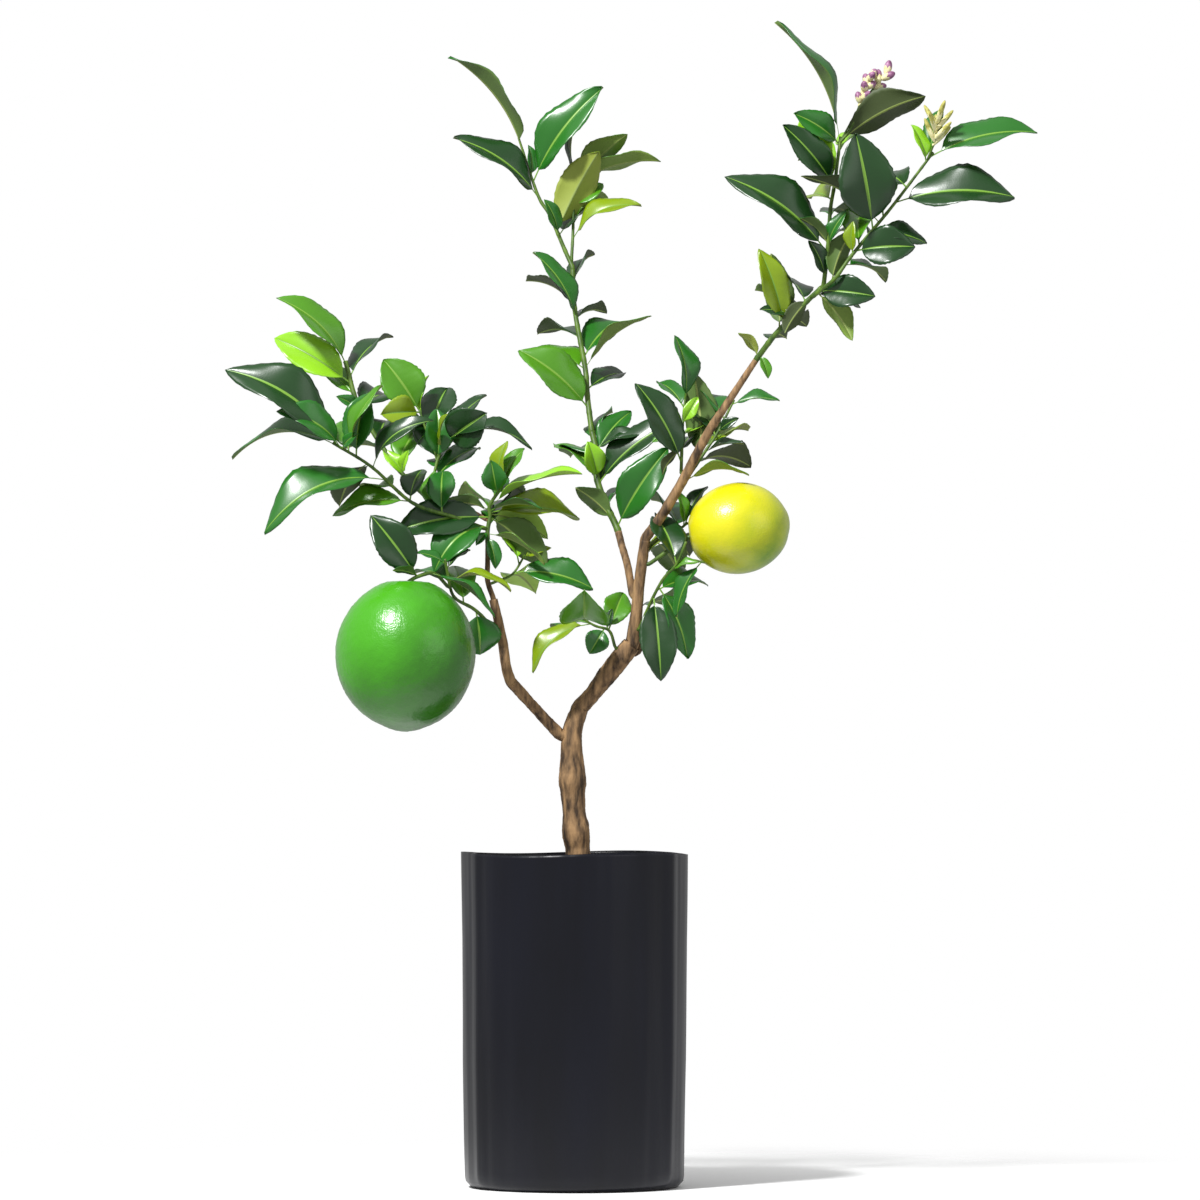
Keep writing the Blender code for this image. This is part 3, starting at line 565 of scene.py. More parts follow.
def make_finishes() -> dict:
    """Builds every material of the tree.

    Returns:
        The materials by short name. Under "leaves" is the list for the slots of a spray's leaves: an
        upper and an under face for each tone, then for the midrib.
    """
    finishes = (
        # Young citrus bark: matt, tan to brown in patches drawn out along the trunk.
        ("bark", Finish("young_citrus_bark", "3a2a1a", "a5825a", 0.8, 5, 1.2, 0.8, (1, 1, 0.25))),
        # A green shoot: half matt, with faint long ridges.
        ("shoot", Finish("green_citrus_shoot", "31500f", "5f7f22", 0.5, 6, 0.8, 0.15, (1, 1, 0.3))),
        # Blown polythene film: nearly black, with a broad soft sheen over long slight waves.
        ("film", Finish("black_polythene_film", "05060e", "0a0c18", 0.33, 60, 6, 0.2, (1, 1, 0.2), 0.3)),
        # Damp potting mix: dark crumbs with no gloss.
        ("soil", Finish("damp_potting_mix", "120b06", "3a2819", 0.95, 4, 1.0, 1.0)),
        # Green peel and riper yellow peel: a waxy gloss broken up by pores, drawn wide enough to show.
        # Each ramp runs from painted shade to painted sun; on the yellow peel it is partly real
        # green-to-yellow colouring.
        ("green_peel", Peel("green_citrus_peel", "1f5a06", "2a6c06", "3f9a0a")),
        ("yellow_peel", Peel("yellow_citrus_peel", "2f7a08", "a9b80c", "d8d010")),
        # Petals and styles: soft and matt, each in two near shades.
        ("cream", Finish("cream_flower_base", "cfc98c", "efe9bd", 0.5, 3)),
        ("petal", Finish("purple_bud", "6d3a5f", "a9759a", 0.5, 3)),
        ("style", Finish("spent_style", "8d8a3c", "c9c46a", 0.6, 3)),
    )
    made = {name: finish.make() for name, finish in finishes}
    skins = []
    for tone in TONES:
        upper, under, _ = tone.value
        name = tone.name.lower()
        # The upper face has a waxy gloss and the under face none.
        skins.append(LeafSkin(f"{name}_leaf_upper", upper, 0.32, 0.25))
        skins.append(LeafSkin(f"{name}_leaf_under", under, 0.6, 0.0))
    skins.append(LeafSkin("midrib_upper", "6f9a34", 0.4, 0.1))
    skins.append(LeafSkin("midrib_under", "8b9c52", 0.6, 0.0))
    made["leaves"] = [skin.make() for skin in skins]
    return made


def spread(values: tuple, share: float) -> float:
    """Reads a row of evenly spread values.

    Args:
        values: The values from start to end.
        share: The place to read, from 0 to 1.

    Returns:
        The value there.
    """
    place = share * (len(values) - 1)
    i = min(len(values) - 2, int(place))
    return values[i] + (values[i + 1] - values[i]) * (place - i)


def smooth_path(points: list) -> list:
    """Draws a Catmull-Rom curve.

    Args:
        points: The points that it passes.

    Returns:
        Its points, PATH_STEPS to each stretch.
    """
    ends = [2 * points[0] - points[1], *points, 2 * points[-1] - points[-2]]
    curve = []
    for a, b, c, d in zip(ends, ends[1:], ends[2:], ends[3:]):
        for step in range(PATH_STEPS):
            t = step / PATH_STEPS
            pull = (2 * a - 5 * b + 4 * c - d) * t**2 + (3 * b - a - 3 * c + d) * t**3
            curve.append(0.5 * (2 * b + (c - a) * t + pull))
    return [*curve, points[-1]]


class Rod:
    """A tapering run of wood or stem: a smooth line, and a diameter at each of its points, in mm."""

    def __init__(self, points: list, diameters: tuple, start: Vector | None = None) -> None:
        """Smooths the points and spreads the diameters along them.

        Args:
            points: The points that the line passes.
            diameters: Diameters evenly spread from root to tip.
            start: A first point that the smoothing leaves out.
        """
        self.points = smooth_path([Vector(point) for point in points])
        if start is not None:
            self.points.insert(0, start)
        lengths = [(b - a).length for a, b in zip(self.points, self.points[1:])]
        self.length = sum(lengths)
        self.shares = [sum(lengths[:i]) / self.length for i in range(len(self.points))]
        self.diameters = [spread(diameters, share) for share in self.shares]

    def at(self, share: float) -> tuple[Vector, Vector, float]:
        """Reads the rod at a share of its length.

        Args:
            share: The place to read, from 0 to 1.

        Returns:
            The point, the direction and the radius there.
        """
        last = len(self.shares) - 1
        i = max(1, next((i for i, reached in enumerate(self.shares) if reached >= share), last))
        a, b = self.points[i - 1], self.points[i]
        part = min(1, max(0, (share - self.shares[i - 1]) / (self.shares[i] - self.shares[i - 1])))
        diameter = self.diameters[i - 1] + (self.diameters[i] - self.diameters[i - 1]) * part
        return a.lerp(b, part), (b - a).normalized(), diameter / 2

    def side(self, turn: float, share: float) -> tuple[Vector, Vector, float]:
        """Reads the rod's side.

        Args:
            turn: A share of the turn round it.
            share: A share of its length.

        Returns:
            The point on its line, the way out from there and the radius.
        """
        point, along, radius = self.at(share)
        first = along.cross(FRONT).normalized()
        angle = turn * math.tau
        return point, first * math.cos(angle) + along.cross(first) * math.sin(angle), radius


def grow(limb: Limb, parent: Rod) -> Rod:
    """Grows a rod on from its parent's tip or out of its parent's side, with its root sunk in.

    Args:
        limb: The run to grow.
        parent: The rod that carries it.

    Returns:
        The grown rod.
    """
    point, along, radius = parent.at(limb.share)
    if limb.share == 1:
        return Rod([point + along * STRAIGHT_START, *limb.path], limb.diameters, point - along * SUNK)
    outward = (Vector(limb.path[0]) - point).normalized()
    away = (outward - along * outward.dot(along)).normalized()
    first = point + away * (radius + CLEAR) + outward * STRAIGHT_START
    return Rod([first, *limb.path], limb.diameters, point + away * radius * SUNK_IN_SIDE)


def grow_all() -> dict[str, Rod]:
    """Grows every limb and every spray's stem, each on its parent.

    Returns:
        The rods by node name.
    """
    rods = {"trunk": Rod(list(TRUNK.path[1:]), TRUNK.diameters, Vector(TRUNK.path[0]))}
    for name, limb in BOUGHS.items():
        rods[name] = grow(limb, rods[limb.parent])
    for name, twigs in SPRAYS.items():
        if name == REACH_BEFORE:
            rods["left_reach"] = grow(REACH_LIMB, rods[REACH_LIMB.parent])
        rods[name] = grow(twigs[0], rods[twigs[0].parent])
    return rods


def wrapped_tube(
    bm: bmesh.types.BMesh, sides: int, rings: int, place: Callable[[float, float], Vector]
) -> None:
    """Bends a grid round to a closed tube and caps it.

    Args:
        bm: The mesh to add it to.
        sides: How many faces go round.
        rings: How many go along.
        place: Gives the point, in metres, at a share of the turn and a share of the length.
    """
    seam = []
    ends = []
    for vert in bmesh.ops.create_grid(bm, x_segments=sides, y_segments=rings, size=1)["verts"]:
        turn, share = (vert.co.x + 1) / 2, (vert.co.y + 1) / 2
        if turn < BORDER or turn > 1 - BORDER:
            seam.append(vert)
        if share < BORDER or share > 1 - BORDER:
            ends.append(vert)
        vert.co = place(turn if turn < 1 - BORDER else 0.0, share)
    bmesh.ops.remove_doubles(bm, verts=seam, dist=WELD)
    ends = [vert for vert in ends if vert.is_valid]
    edges = [edge for edge in {edge for vert in ends for edge in vert.link_edges} if edge.is_boundary]
    bmesh.ops.holes_fill(bm, edges=edges, sides=0)


def add_piece(
    bm: bmesh.types.BMesh, name: str, materials: list, node: str, slot: str, closed: bool = True
) -> bpy.types.Object:
    """Makes a piece from a mesh, and says what it rides on and stands for.

    Args:
        bm: The mesh, which is freed.
        name: The piece's name.
        materials: Its materials.
        node: The node that it replaces.
        slot: The record's material slot. Not used.
        closed: Whether the mesh is closed, so that its faces can be turned outwards here.

    Returns:
        The piece.
    """
    if closed:
        bmesh.ops.recalc_face_normals(bm, faces=bm.faces)
    mesh = bpy.data.meshes.new(name)
    for face in bm.faces:
        face.smooth = True
    bm.to_mesh(mesh)
    bm.free()
    piece = bpy.data.objects.new(name, mesh)
    for material in materials:
        mesh.materials.append(material)
    bpy.context.scene.collection.objects.link(piece)
    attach(piece, BODY)
    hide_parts(node)
    LOG.info("%s: %d faces", name, len(mesh.polygons))
    return piece


def give_wall(piece: bpy.types.Object, name: str, thickness: float, under_slot: int = 0) -> None:
    """Gives an open sheet its thickness, behind the face that shows.

    Args:
        piece: The sheet.
        name: The modifier's name.
        thickness: The wall's thickness in mm.
        under_slot: How many slots on the back's material is.
    """
    wall = piece.modifiers.new(name, "SOLIDIFY")
    wall.thickness = thickness * MM
    wall.offset = -1
    wall.material_offset = under_slot


@dataclass(frozen=True)
class Wood:
    """The trunk and the boughs: tapering limbs with ridges drawn out along the bark, and swollen nodes."""

    finish: bpy.types.Material
    sides: int = 28
    ring_mm: float = 1.6
    fewest_rings: int = 6
    ridges_per_mm: Triple = (0.55, 0.55, 0.07)
    ridge: float = 0.07
    grains_per_mm: float = 1.3
    grain: float = 0.03
    node_mm: float = 16.0
    node_row: float = 3.1
    node_swell: float = 0.09

    def limb(self, name: str, rod: Rod) -> None:
        """Builds one limb with its bark relief, whose heights are shares of its radius.

        Args:
            name: The node that it replaces.
            rod: Its line and diameters.
        """
        bm = bmesh.new()

        def place(turn: float, share: float) -> Vector:
            """The point on the bark, in metres, at a share of the turn and of the length."""
            point, outward, radius = rod.side(turn, share)
            base = point + outward * radius
            ridges = noise.noise(Vector([base[i] * self.ridges_per_mm[i] for i in range(3)]))
            grain = noise.noise(base * self.grains_per_mm)
            nodes = noise.noise(Vector((share * rod.length / self.node_mm, self.node_row, len(name))))
            swell = self.ridge * ridges + self.grain * grain + self.node_swell * max(0, nodes)
            return (base + outward * radius * swell) * MM

        wrapped_tube(bm, self.sides, max(self.fewest_rings, round(rod.length / self.ring_mm)), place)
        add_piece(bm, f"{name}_bark", [self.finish], name, "bark")


def leaf_axes(leaf: Leaf) -> tuple[Vector, Vector]:
    """Works out how a leaf lies.

    Args:
        leaf: The leaf.

    Returns:
        The way it points, and the way its upper face looks.
    """
    heading, lean, turn = (math.radians(angle) for angle in (leaf.heading, leaf.lean, leaf.turn))
    flat = math.cos(lean)
    along = Vector((flat * math.cos(heading), -math.sin(lean), flat * math.sin(heading)))
    to_front = (FRONT - along * FRONT.dot(along)).normalized()
    to_side = along.cross(to_front)
    if to_side.z < 0:
        to_side.negate()
    return along, to_front * math.cos(turn) + to_side * math.sin(turn)


@dataclass(frozen=True)
class LeafShape:
    """A citrus leaf's shape: a stalk, a folded oval blade with a scalloped edge, a midrib and side veins."""

    columns: int = 10
    rows: int = 26
    stalk_share: float = 0.12
    stalk_width: float = 1.5
    oval: float = 1.1
    oval_lean: float = 0.86
    oval_fullness: float = 0.72
    scallops: int = 13
    scallop_depth: float = 0.025
    fold: float = 24.0
    fold_play: float = 5.0
    twist_play: float = 10.0
    edge_droop: float = 0.25
    midrib_share: float = 0.055
    midrib_sink: float = 0.35
    veins: int = 8
    vein_slant: float = 1.4
    vein_height: float = 0.3
    half_waves: int = 3
    wave_height: float = 0.03
    thickness: float = 0.4

    def blade_share(self, share: float) -> float:
        """Gives the share of the blade at a share of the leaf, below 0 on the stalk."""
        return (share - self.stalk_share) / (1 - self.stalk_share)

    def half_width(self, share: float, leaf: Leaf) -> float:
        """Works out half the leaf's width.

        Args:
            share: A share of its length.
            leaf: The leaf.

        Returns:
            Half its width there, in mm.
        """
        blade = self.blade_share(share)
        if blade <= 0:
            return self.stalk_width / 2
        oval = 0.0
        if blade < 1:
            oval = self.oval * math.sin(math.pi * min(1.0, blade) ** self.oval_lean) ** self.oval_fullness
        edge = 1 + self.scallop_depth * math.sin(math.tau * self.scallops * blade)
        return max(self.stalk_width / 2 * (1 - max(0.0, blade)), 0.5 * leaf.width * leaf.length * oval * edge)

    def column(self, across: float) -> float:
        """Gives a grid column's place across the leaf, with the midrib's two edges drawn in."""
        width = 2 / self.columns
        if abs(across) < 0.5 * width:
            return 0.0
        return math.copysign(self.midrib_share, across) if abs(across) < 1.5 * width else across

    def add(self, bm: bmesh.types.BMesh, leaf: Leaf, root: Vector, tone: Tone, rng: random.Random) -> None:
        """Adds one leaf to a spray's mesh.

        Args:
            bm: The spray's mesh.
            leaf: The leaf.
            root: Where its stalk starts, in mm.
            tone: Its tone.
            rng: The spray's own dice.
        """
        along, upper = leaf_axes(leaf)
        across = upper.cross(along)
        fold = math.radians(self.fold + rng.uniform(-self.fold_play, self.fold_play))
        wave_start = rng.uniform(0, math.tau)
        twist = math.radians(rng.uniform(-self.twist_play, self.twist_play))
        made = bmesh.ops.create_grid(bm, x_segments=self.columns, y_segments=self.rows, size=1)["verts"]
        for vert in made:
            side, share = self.column(vert.co.x), (vert.co.y + 1) / 2
            half = self.half_width(share, leaf)
            blade = max(0.0, self.blade_share(share))
            rise = leaf.arch * leaf.length * 4 * share * (1 - share)
            if blade:
                opening = math.sin(fold) * (abs(side) - self.edge_droop * side * side)
                slant = self.veins * blade + self.vein_slant * abs(side)
                vein = abs(math.sin(math.pi * slant)) * abs(side) * (1 - abs(side)) * 4
                rise += half * opening + self.vein_height * vein - (self.midrib_sink if side == 0 else 0)
                wave = math.sin(self.half_waves * math.pi * blade + wave_start)
                rise += self.wave_height * leaf.length * side * side * wave
            turn = twist * share
            lateral = across * math.cos(turn) + upper * math.sin(turn)
            flat = lateral * side * half * math.cos(fold)
            vert.co = (root + along * share * leaf.length + upper * rise + flat) * MM
        for face in {face for vert in made for face in vert.link_faces}:
            centre = face.calc_center_median() / MM - root
            share = centre.dot(along) / leaf.length
            off = abs(centre.dot(across)) / max(0.1, self.half_width(share, leaf))
            rib = off < self.midrib_share or share < self.stalk_share
            # Each skin has two slots, and the solidify step puts the second on the under face.
            face.material_index = 2 * (len(TONES) if rib else TONES.index(tone))
            face.normal_flip()


@dataclass(frozen=True)
class ShadeRule:
    """The seeded rule for the leaves behind: on either side of a twig, leaning away from the viewer."""

    first_share: float = 0.15
    run_share: float = 0.82
    side_angles: Pair = (30.0, 95.0)
    lengths: Pair = (44.0, 74.0)
    leans: Pair = (38.0, 72.0)
    turn_play: float = 30.0
    widths: Pair = (0.42, 0.54)
    crown_middle: Triple = (50, 0, 700)
    crown_reach: Triple = (345, 170, 305)

    def leaves(self, twig: Twig, rod: Rod, name: str) -> Iterator[Leaf]:
        """Grows the leaves of one twig.

        Args:
            twig: The twig.
            rod: Its line.
            name: The name that seeds its dice.

        Yields:
            The leaves whose tips stay inside the crown.
        """
        rng = random.Random(f"{SEED} {name}")
        step = GOLDEN_ANGLE / math.tau
        for i in range(twig.shade):
            share = self.first_share + self.run_share * ((i + 1) * step % 1)
            point, way, _ = rod.at(share)
            side = 1 if i % 2 else -1
            heading = math.degrees(math.atan2(way.z, way.x)) + side * rng.uniform(*self.side_angles)
            leaf = Leaf(share, heading, rng.uniform(*self.lengths), -rng.uniform(*self.leans), 0)
            along, to_front = leaf_axes(leaf)
            to_side = leaf_axes(replace(leaf, turn=90))[1]
            play = rng.uniform(-self.turn_play, self.turn_play)
            turn = math.degrees(math.atan2(to_side.z, to_front.z)) + play
            leaf = replace(leaf, turn=turn, width=rng.uniform(*self.widths))
            tip = point + along * leaf.length - Vector(self.crown_middle)
            if sum((tip[i] / self.crown_reach[i]) ** 2 for i in range(3)) < 1:
                yield leaf


@dataclass(frozen=True)
class PaintedSunAndRipening:
    """Painted sun and shade on a peel: lighter towards the key light, yellower there on the yellow fruit, in
    soft patches and fine specks.
    """

    sun: Triple = (-0.7, -0.25, 0.65)
    middle: float = 0.62
    painted_sun_share: float = 0.5
    patch_scale: float = 2.3
    patch_change: float = 0.16
    speck_scale: float = 9.0
    speck_change: float = 0.06

    def at(self, facing: Vector) -> float:
        """Works out one spot's painted sun and shade.

        Args:
            facing: The way that the spot looks.

        Returns:
            From 0, in painted shade, to 1, in painted sun.
        """
        # Lighter towards the key light: painted sun and shade, with random patches and specks.
        sun_and_ripe = self.middle + self.painted_sun_share * facing.dot(Vector(self.sun).normalized())
        sun_and_ripe += self.patch_change * noise.noise(facing * self.patch_scale)
        sun_and_ripe += self.speck_change * noise.noise(facing * self.speck_scale)
        return min(1.0, max(0.0, sun_and_ripe))


@dataclass(frozen=True)
class Fruit:
    """A fruit: half its width and length, the way its far end points, and the pebbles of its peel."""

    half_width: float
    half_length: float
    axis: Triple
    slot: str
    pebbles_per_mm: float
    pebble_height: float
    pebble_level: float = 0.4
    lump_scale: float = 1.7
    lump_height: float = 0.012
    end_from: float = 0.95
    end_depth: float = 0.05
    far_end_rise: float = 0.02
    stalk_end_dip: float = 0.03
    sink: float = 3.0
    subdivisions: int = 6

    def build(self, name: str, stalk_end: Vector, finish: bpy.types.Material) -> None:
        """Builds the fruit with its pebbled peel.

        Args:
            name: The node that it replaces.
            stalk_end: The tip of its stalk, which sinks into it.
            finish: Its peel.
        """
        axis = Vector(self.axis).normalized()
        middle = stalk_end + axis * (self.half_length - self.sink)
        bm = bmesh.new()
        bmesh.ops.create_icosphere(bm, subdivisions=self.subdivisions, radius=1)
        turned = Matrix.Translation(middle * MM) @ UP.rotation_difference(axis).to_matrix().to_4x4()
        for vert in bm.verts:
            unit = vert.co.normalized()
            pebble = noise.voronoi(unit * self.half_width * self.pebbles_per_mm)[0][0] - self.pebble_level
            lump = noise.noise(unit * self.lump_scale)
            vert.co = unit * (1 + self.pebble_height * pebble + self.lump_height * lump)
            end = max(0.0, abs(unit.z) - self.end_from) / self.end_depth
            vert.co.z *= 1 + (self.far_end_rise if unit.z > 0 else -self.stalk_end_dip) * end
        size = Matrix.Diagonal((self.half_width * MM, self.half_width * MM, self.half_length * MM, 1))
        bmesh.ops.transform(bm, matrix=turned @ size, verts=bm.verts)
        # Each vertex holds its painted sun and shade, which the peel's colour ramp reads.
        painted_sun_and_ripeness = bm.verts.layers.float.new("painted_sun_and_ripeness")
        peel_sun_paint = PaintedSunAndRipening()
        for vert in bm.verts:
            vert[painted_sun_and_ripeness] = peel_sun_paint.at((vert.co - middle * MM).normalized())
        add_piece(bm, f"{name}_peel", [finish], name, self.slot)


@dataclass(frozen=True)
class Cluster:
    """Buds or spent flower heads round a twig: which twig, from where on, how many, and their size."""

    twig: int
    first_share: float
    count: int
    length: float
    width: float
    tips: str
    last_share: float = 0.97
    tilt: float = 38.0
    root_share: float = 0.42
    tip_from: float = 0.05
    subdivisions: int = 3

    def build(self, name: str, rod: Rod, finishes: dict) -> None:
        """Builds the heads, each with its base in one colour and its tip in another.

        Args:
            name: The node that they replace.
            rod: The twig's line.
            finishes: The materials by short name.
        """
        bm = bmesh.new()
        tilt = math.radians(self.tilt)
        for i in range(self.count):
            share = self.first_share + (self.last_share - self.first_share) * i / (self.count - 1)
            point, along, _ = rod.at(share)
            outward = Matrix.Rotation(GOLDEN_ANGLE * i, 3, along) @ along.orthogonal().normalized()
            way = along * math.cos(tilt) + outward * math.sin(tilt)
            turned = Matrix.Translation((point + way * self.length * self.root_share) * MM)
            turned @= UP.rotation_difference(way).to_matrix().to_4x4()
            made = bmesh.ops.create_icosphere(bm, subdivisions=self.subdivisions, radius=1)["verts"]
            for vert in made:
                for face in vert.link_faces:
                    face.material_index = 1 if vert.co.z > self.tip_from else 0
            size = Matrix.Diagonal((self.width / 2 * MM, self.width / 2 * MM, self.length / 2 * MM, 1))
            bmesh.ops.transform(bm, matrix=turned @ size, verts=made)
        materials = [finishes["cream"], finishes[self.tips]]
        add_piece(bm, f"{name}_buds_{self.twig}", materials, name, "foliage")


FRUITS = {
    "green_fruit": Fruit(59.5, 64.5, (-0.03, -0.03, -1), "green_peel", 0.42, 0.011),
    "yellow_fruit": Fruit(39.5, 44.0, (1, 0.05, 0.16), "yellow_peel", 0.55, 0.004),
}
CLUSTERS = {
    "right_top_left": (Cluster(1, 0.55, 9, 11, 6.5, "petal"), Cluster(2, 0.75, 4, 14, 7, "petal")),
    "right_top_right": (Cluster(1, 0.4, 9, 24, 4.5, "style"),),
}


@dataclass(frozen=True)
class Foliage:
    """All the sprays: their green twigs, their leaves, and the fruit or flowers that they carry."""

    rods: dict
    finishes: dict
    shape: LeafShape = LeafShape()
    rule: ShadeRule = ShadeRule()
    stem_sides: int = 10
    stem_ring_mm: float = 2.0
    fewest_rings: int = 8
    joint_swell: float = 0.12
    joint_mm: float = 2.6
    joint_sharpness: int = 6

    def spray(self, name: str, twigs: tuple) -> None:
        """Builds one spray's leaves and twigs, and what they carry.

        Args:
            name: The node that it replaces.
            twigs: Its stem, then the twigs that leave the stem.
        """
        rng = random.Random(f"leaves {SEED} {name}")
        stem = self.rods[name]
        runs = [stem, *(Rod([stem.at(twig.share)[0], *twig.path], twig.diameters) for twig in twigs[1:])]
        leaves = bmesh.new()
        stems = bmesh.new()
        for i, (twig, run) in enumerate(zip(twigs, runs)):
            self.add_stem(stems, run)
            for leaf in (*twig.leaves, *self.rule.leaves(twig, run, f"{name} {i}")):
                tone = rng.choices(TONES, weights=TONE_WEIGHTS)[0]
                self.shape.add(leaves, leaf, run.at(min(leaf.share, LAST_SHARE))[0], tone, rng)
        if leaves.faces:
            skins = self.finishes["leaves"]
            piece = add_piece(leaves, f"{name}_leaves", skins, name, "foliage", closed=False)
            give_wall(piece, "blade", self.shape.thickness, under_slot=1)
        add_piece(stems, f"{name}_twigs", [self.finishes["shoot"]], name, "foliage")
        if name in FRUITS:
            fruit = FRUITS[name]
            fruit.build(name, stem.points[-1], self.finishes[fruit.slot])
        for cluster in CLUSTERS.get(name, ()):
            cluster.build(name, runs[cluster.twig], self.finishes)

    def add_stem(self, bm: bmesh.types.BMesh, rod: Rod) -> None:
        """Adds a green twig with fine swellings along it.

        Args:
            bm: The mesh of the spray's twigs.
            rod: The twig's line.
        """

        def place(turn: float, share: float) -> Vector:
            """The point on the twig's skin, in metres, at a share of the turn and of the length."""
            point, outward, radius = rod.side(turn, share)
            joint = max(0.0, math.sin(share * rod.length / self.joint_mm)) ** self.joint_sharpness
            return (point + outward * radius * (1 + self.joint_swell * joint)) * MM

        rings = max(self.fewest_rings, round(rod.length / self.stem_ring_mm))
        wrapped_tube(bm, self.stem_sides, rings, place)


@dataclass(frozen=True)
class Ripple:
    """Soft waves round the film: how close, how long upwards, how deep, and which ones."""

    close: float
    length: float
    depth: float
    shift: float

    def at(self, angle: float, height: float) -> float:
        """Gives the wave's depth in mm at an angle and a height."""
        round_bag = Vector((math.sin(angle) * self.close, math.cos(angle) * self.close, 0))
        return noise.noise(round_bag + UP * (height / self.length + self.shift)) * self.depth


@dataclass(frozen=True)
class Bag:
    """The planter bag of black film: upright gusset creases, slight wrinkles, and an uneven rim."""

    finish: bpy.types.Material
    radius: float = 98.0
    height: float = 288.0
    profile: tuple = ((0, 0.91), (2, 0.94), (6, 0.966), (110, 0.985), (215, 0.99), (288, 1.0))
    creases: Pair = (58.5, 121.5)
    crease_width: float = 7.0
    crease_depth: float = 2.0
    ripples: tuple[Ripple, Ripple] = (Ripple(4, 160, 0.9, 0), Ripple(11, 260, 0.5, 7))
    flat_foot: float = 12.0
    rim_waves: int = 3
    rim_wave_height: float = 1.2
    rim_share: float = 0.9
    columns: int = 240
    rows: int = 90
    row_bias: float = 0.9
    film: float = 0.6

    def width_at(self, height: float) -> float:
        """Reads the bag's profile.

        Args:
            height: A height in mm.

        Returns:
            The bag's radius there, in mm.
        """
        for (low, a), (high, b) in zip(self.profile, self.profile[1:]):
            if height <= high:
                return self.radius * (a + (b - a) * (height - low) / (high - low))
        return self.radius

    def place(self, turn: float, share: float) -> Vector:
        """Places a point of the film.

        Args:
            turn: A share of the turn round it.
            share: A share of its height.

        Returns:
            The point in metres.
        """
        angle = turn * math.tau
        height = self.height * share**self.row_bias if share > 0 else 0.0
        from_front = abs(math.degrees(math.atan2(math.sin(angle), math.cos(angle))))
        nearest = min(abs(from_front - crease) for crease in self.creases)
        swell = max(0, 1 - nearest / self.crease_width) * self.crease_depth
        swell += sum(ripple.at(angle, height) for ripple in self.ripples)
        radius = self.width_at(height) + swell * min(1, height / self.flat_foot)
        rim = max(0, (share - self.rim_share) / (1 - self.rim_share))
        rise = self.rim_wave_height * math.sin(self.rim_waves * angle) * rim
        return Vector((math.sin(angle) * radius, -math.cos(angle) * radius, height + rise)) * MM

    def build(self) -> None:
        """Builds the film, closed at its foot and open at its rim."""
        bm = bmesh.new()
        wrapped_tube(bm, self.columns, self.rows, self.place)
        middle = UP * self.height / 2 * MM
        caps = [face for face in bm.faces if len(face.verts) > 4]
        rim = [face for face in caps if face.calc_center_median().z > middle.z]
        bmesh.ops.delete(bm, geom=rim, context="FACES_ONLY")
        bmesh.ops.recalc_face_normals(bm, faces=bm.faces)
        if sum(face.normal.dot(face.calc_center_median() - middle) for face in bm.faces) < 0:
            bmesh.ops.reverse_faces(bm, faces=bm.faces)
        piece = add_piece(bm, "film_bag", [self.finish], "pot", "bag_film", closed=False)
        give_wall(piece, "film", self.film)


@dataclass(frozen=True)
class Soil:
    """The potting mix: a plug that fills the bag, with a crumbly top that falls a little towards the film."""

    finish: bpy.types.Material
    side_radius: float = 86.0
    foot: float = 3.0
    side_height: float = 250.0
    side_share: float = 0.2
    top_radius: float = 92.0
    hub: float = 1.0
    fall: float = 6.0
    below_level: float = 0.5
    clods: tuple = ((9, 2.6), (3.2, 1.2))
    columns: int = 160
    rows: int = 90

    def place(self, turn: float, share: float) -> Vector:
        """Places a point of the plug.

        Args:
            turn: A share of the turn round it.
            share: A share of the way up its side and then in over its top.

        Returns:
            The point in metres.
        """
        angle = turn * math.tau
        if share < self.side_share:
            radius, height = self.side_radius, self.foot + self.side_height * share / self.side_share
            return Vector((math.cos(angle) * radius, math.sin(angle) * radius, height)) * MM
        radius = self.top_radius * (1 - (share - self.side_share) / (1 - self.side_share)) + self.hub
        point = Vector((math.cos(angle) * radius, math.sin(angle) * radius, 0))
        lumps = sum(noise.noise(point / width) * height for width, height in self.clods)
        fall = self.fall * (radius / self.top_radius) ** 2
        return (point + UP * (SOIL_LEVEL - fall + lumps - self.below_level)) * MM

    def build(self) -> None:
        """Builds the plug."""
        bm = bmesh.new()
        wrapped_tube(bm, self.columns, self.rows, self.place)
        add_piece(bm, "potting_mix", [self.finish], "soil", "soil")


@dataclass(frozen=True)
class Lamp:
    """A soft area light: its name, place and size in metres, and its power."""

    name: str
    place: Triple
    power: float
    size: float


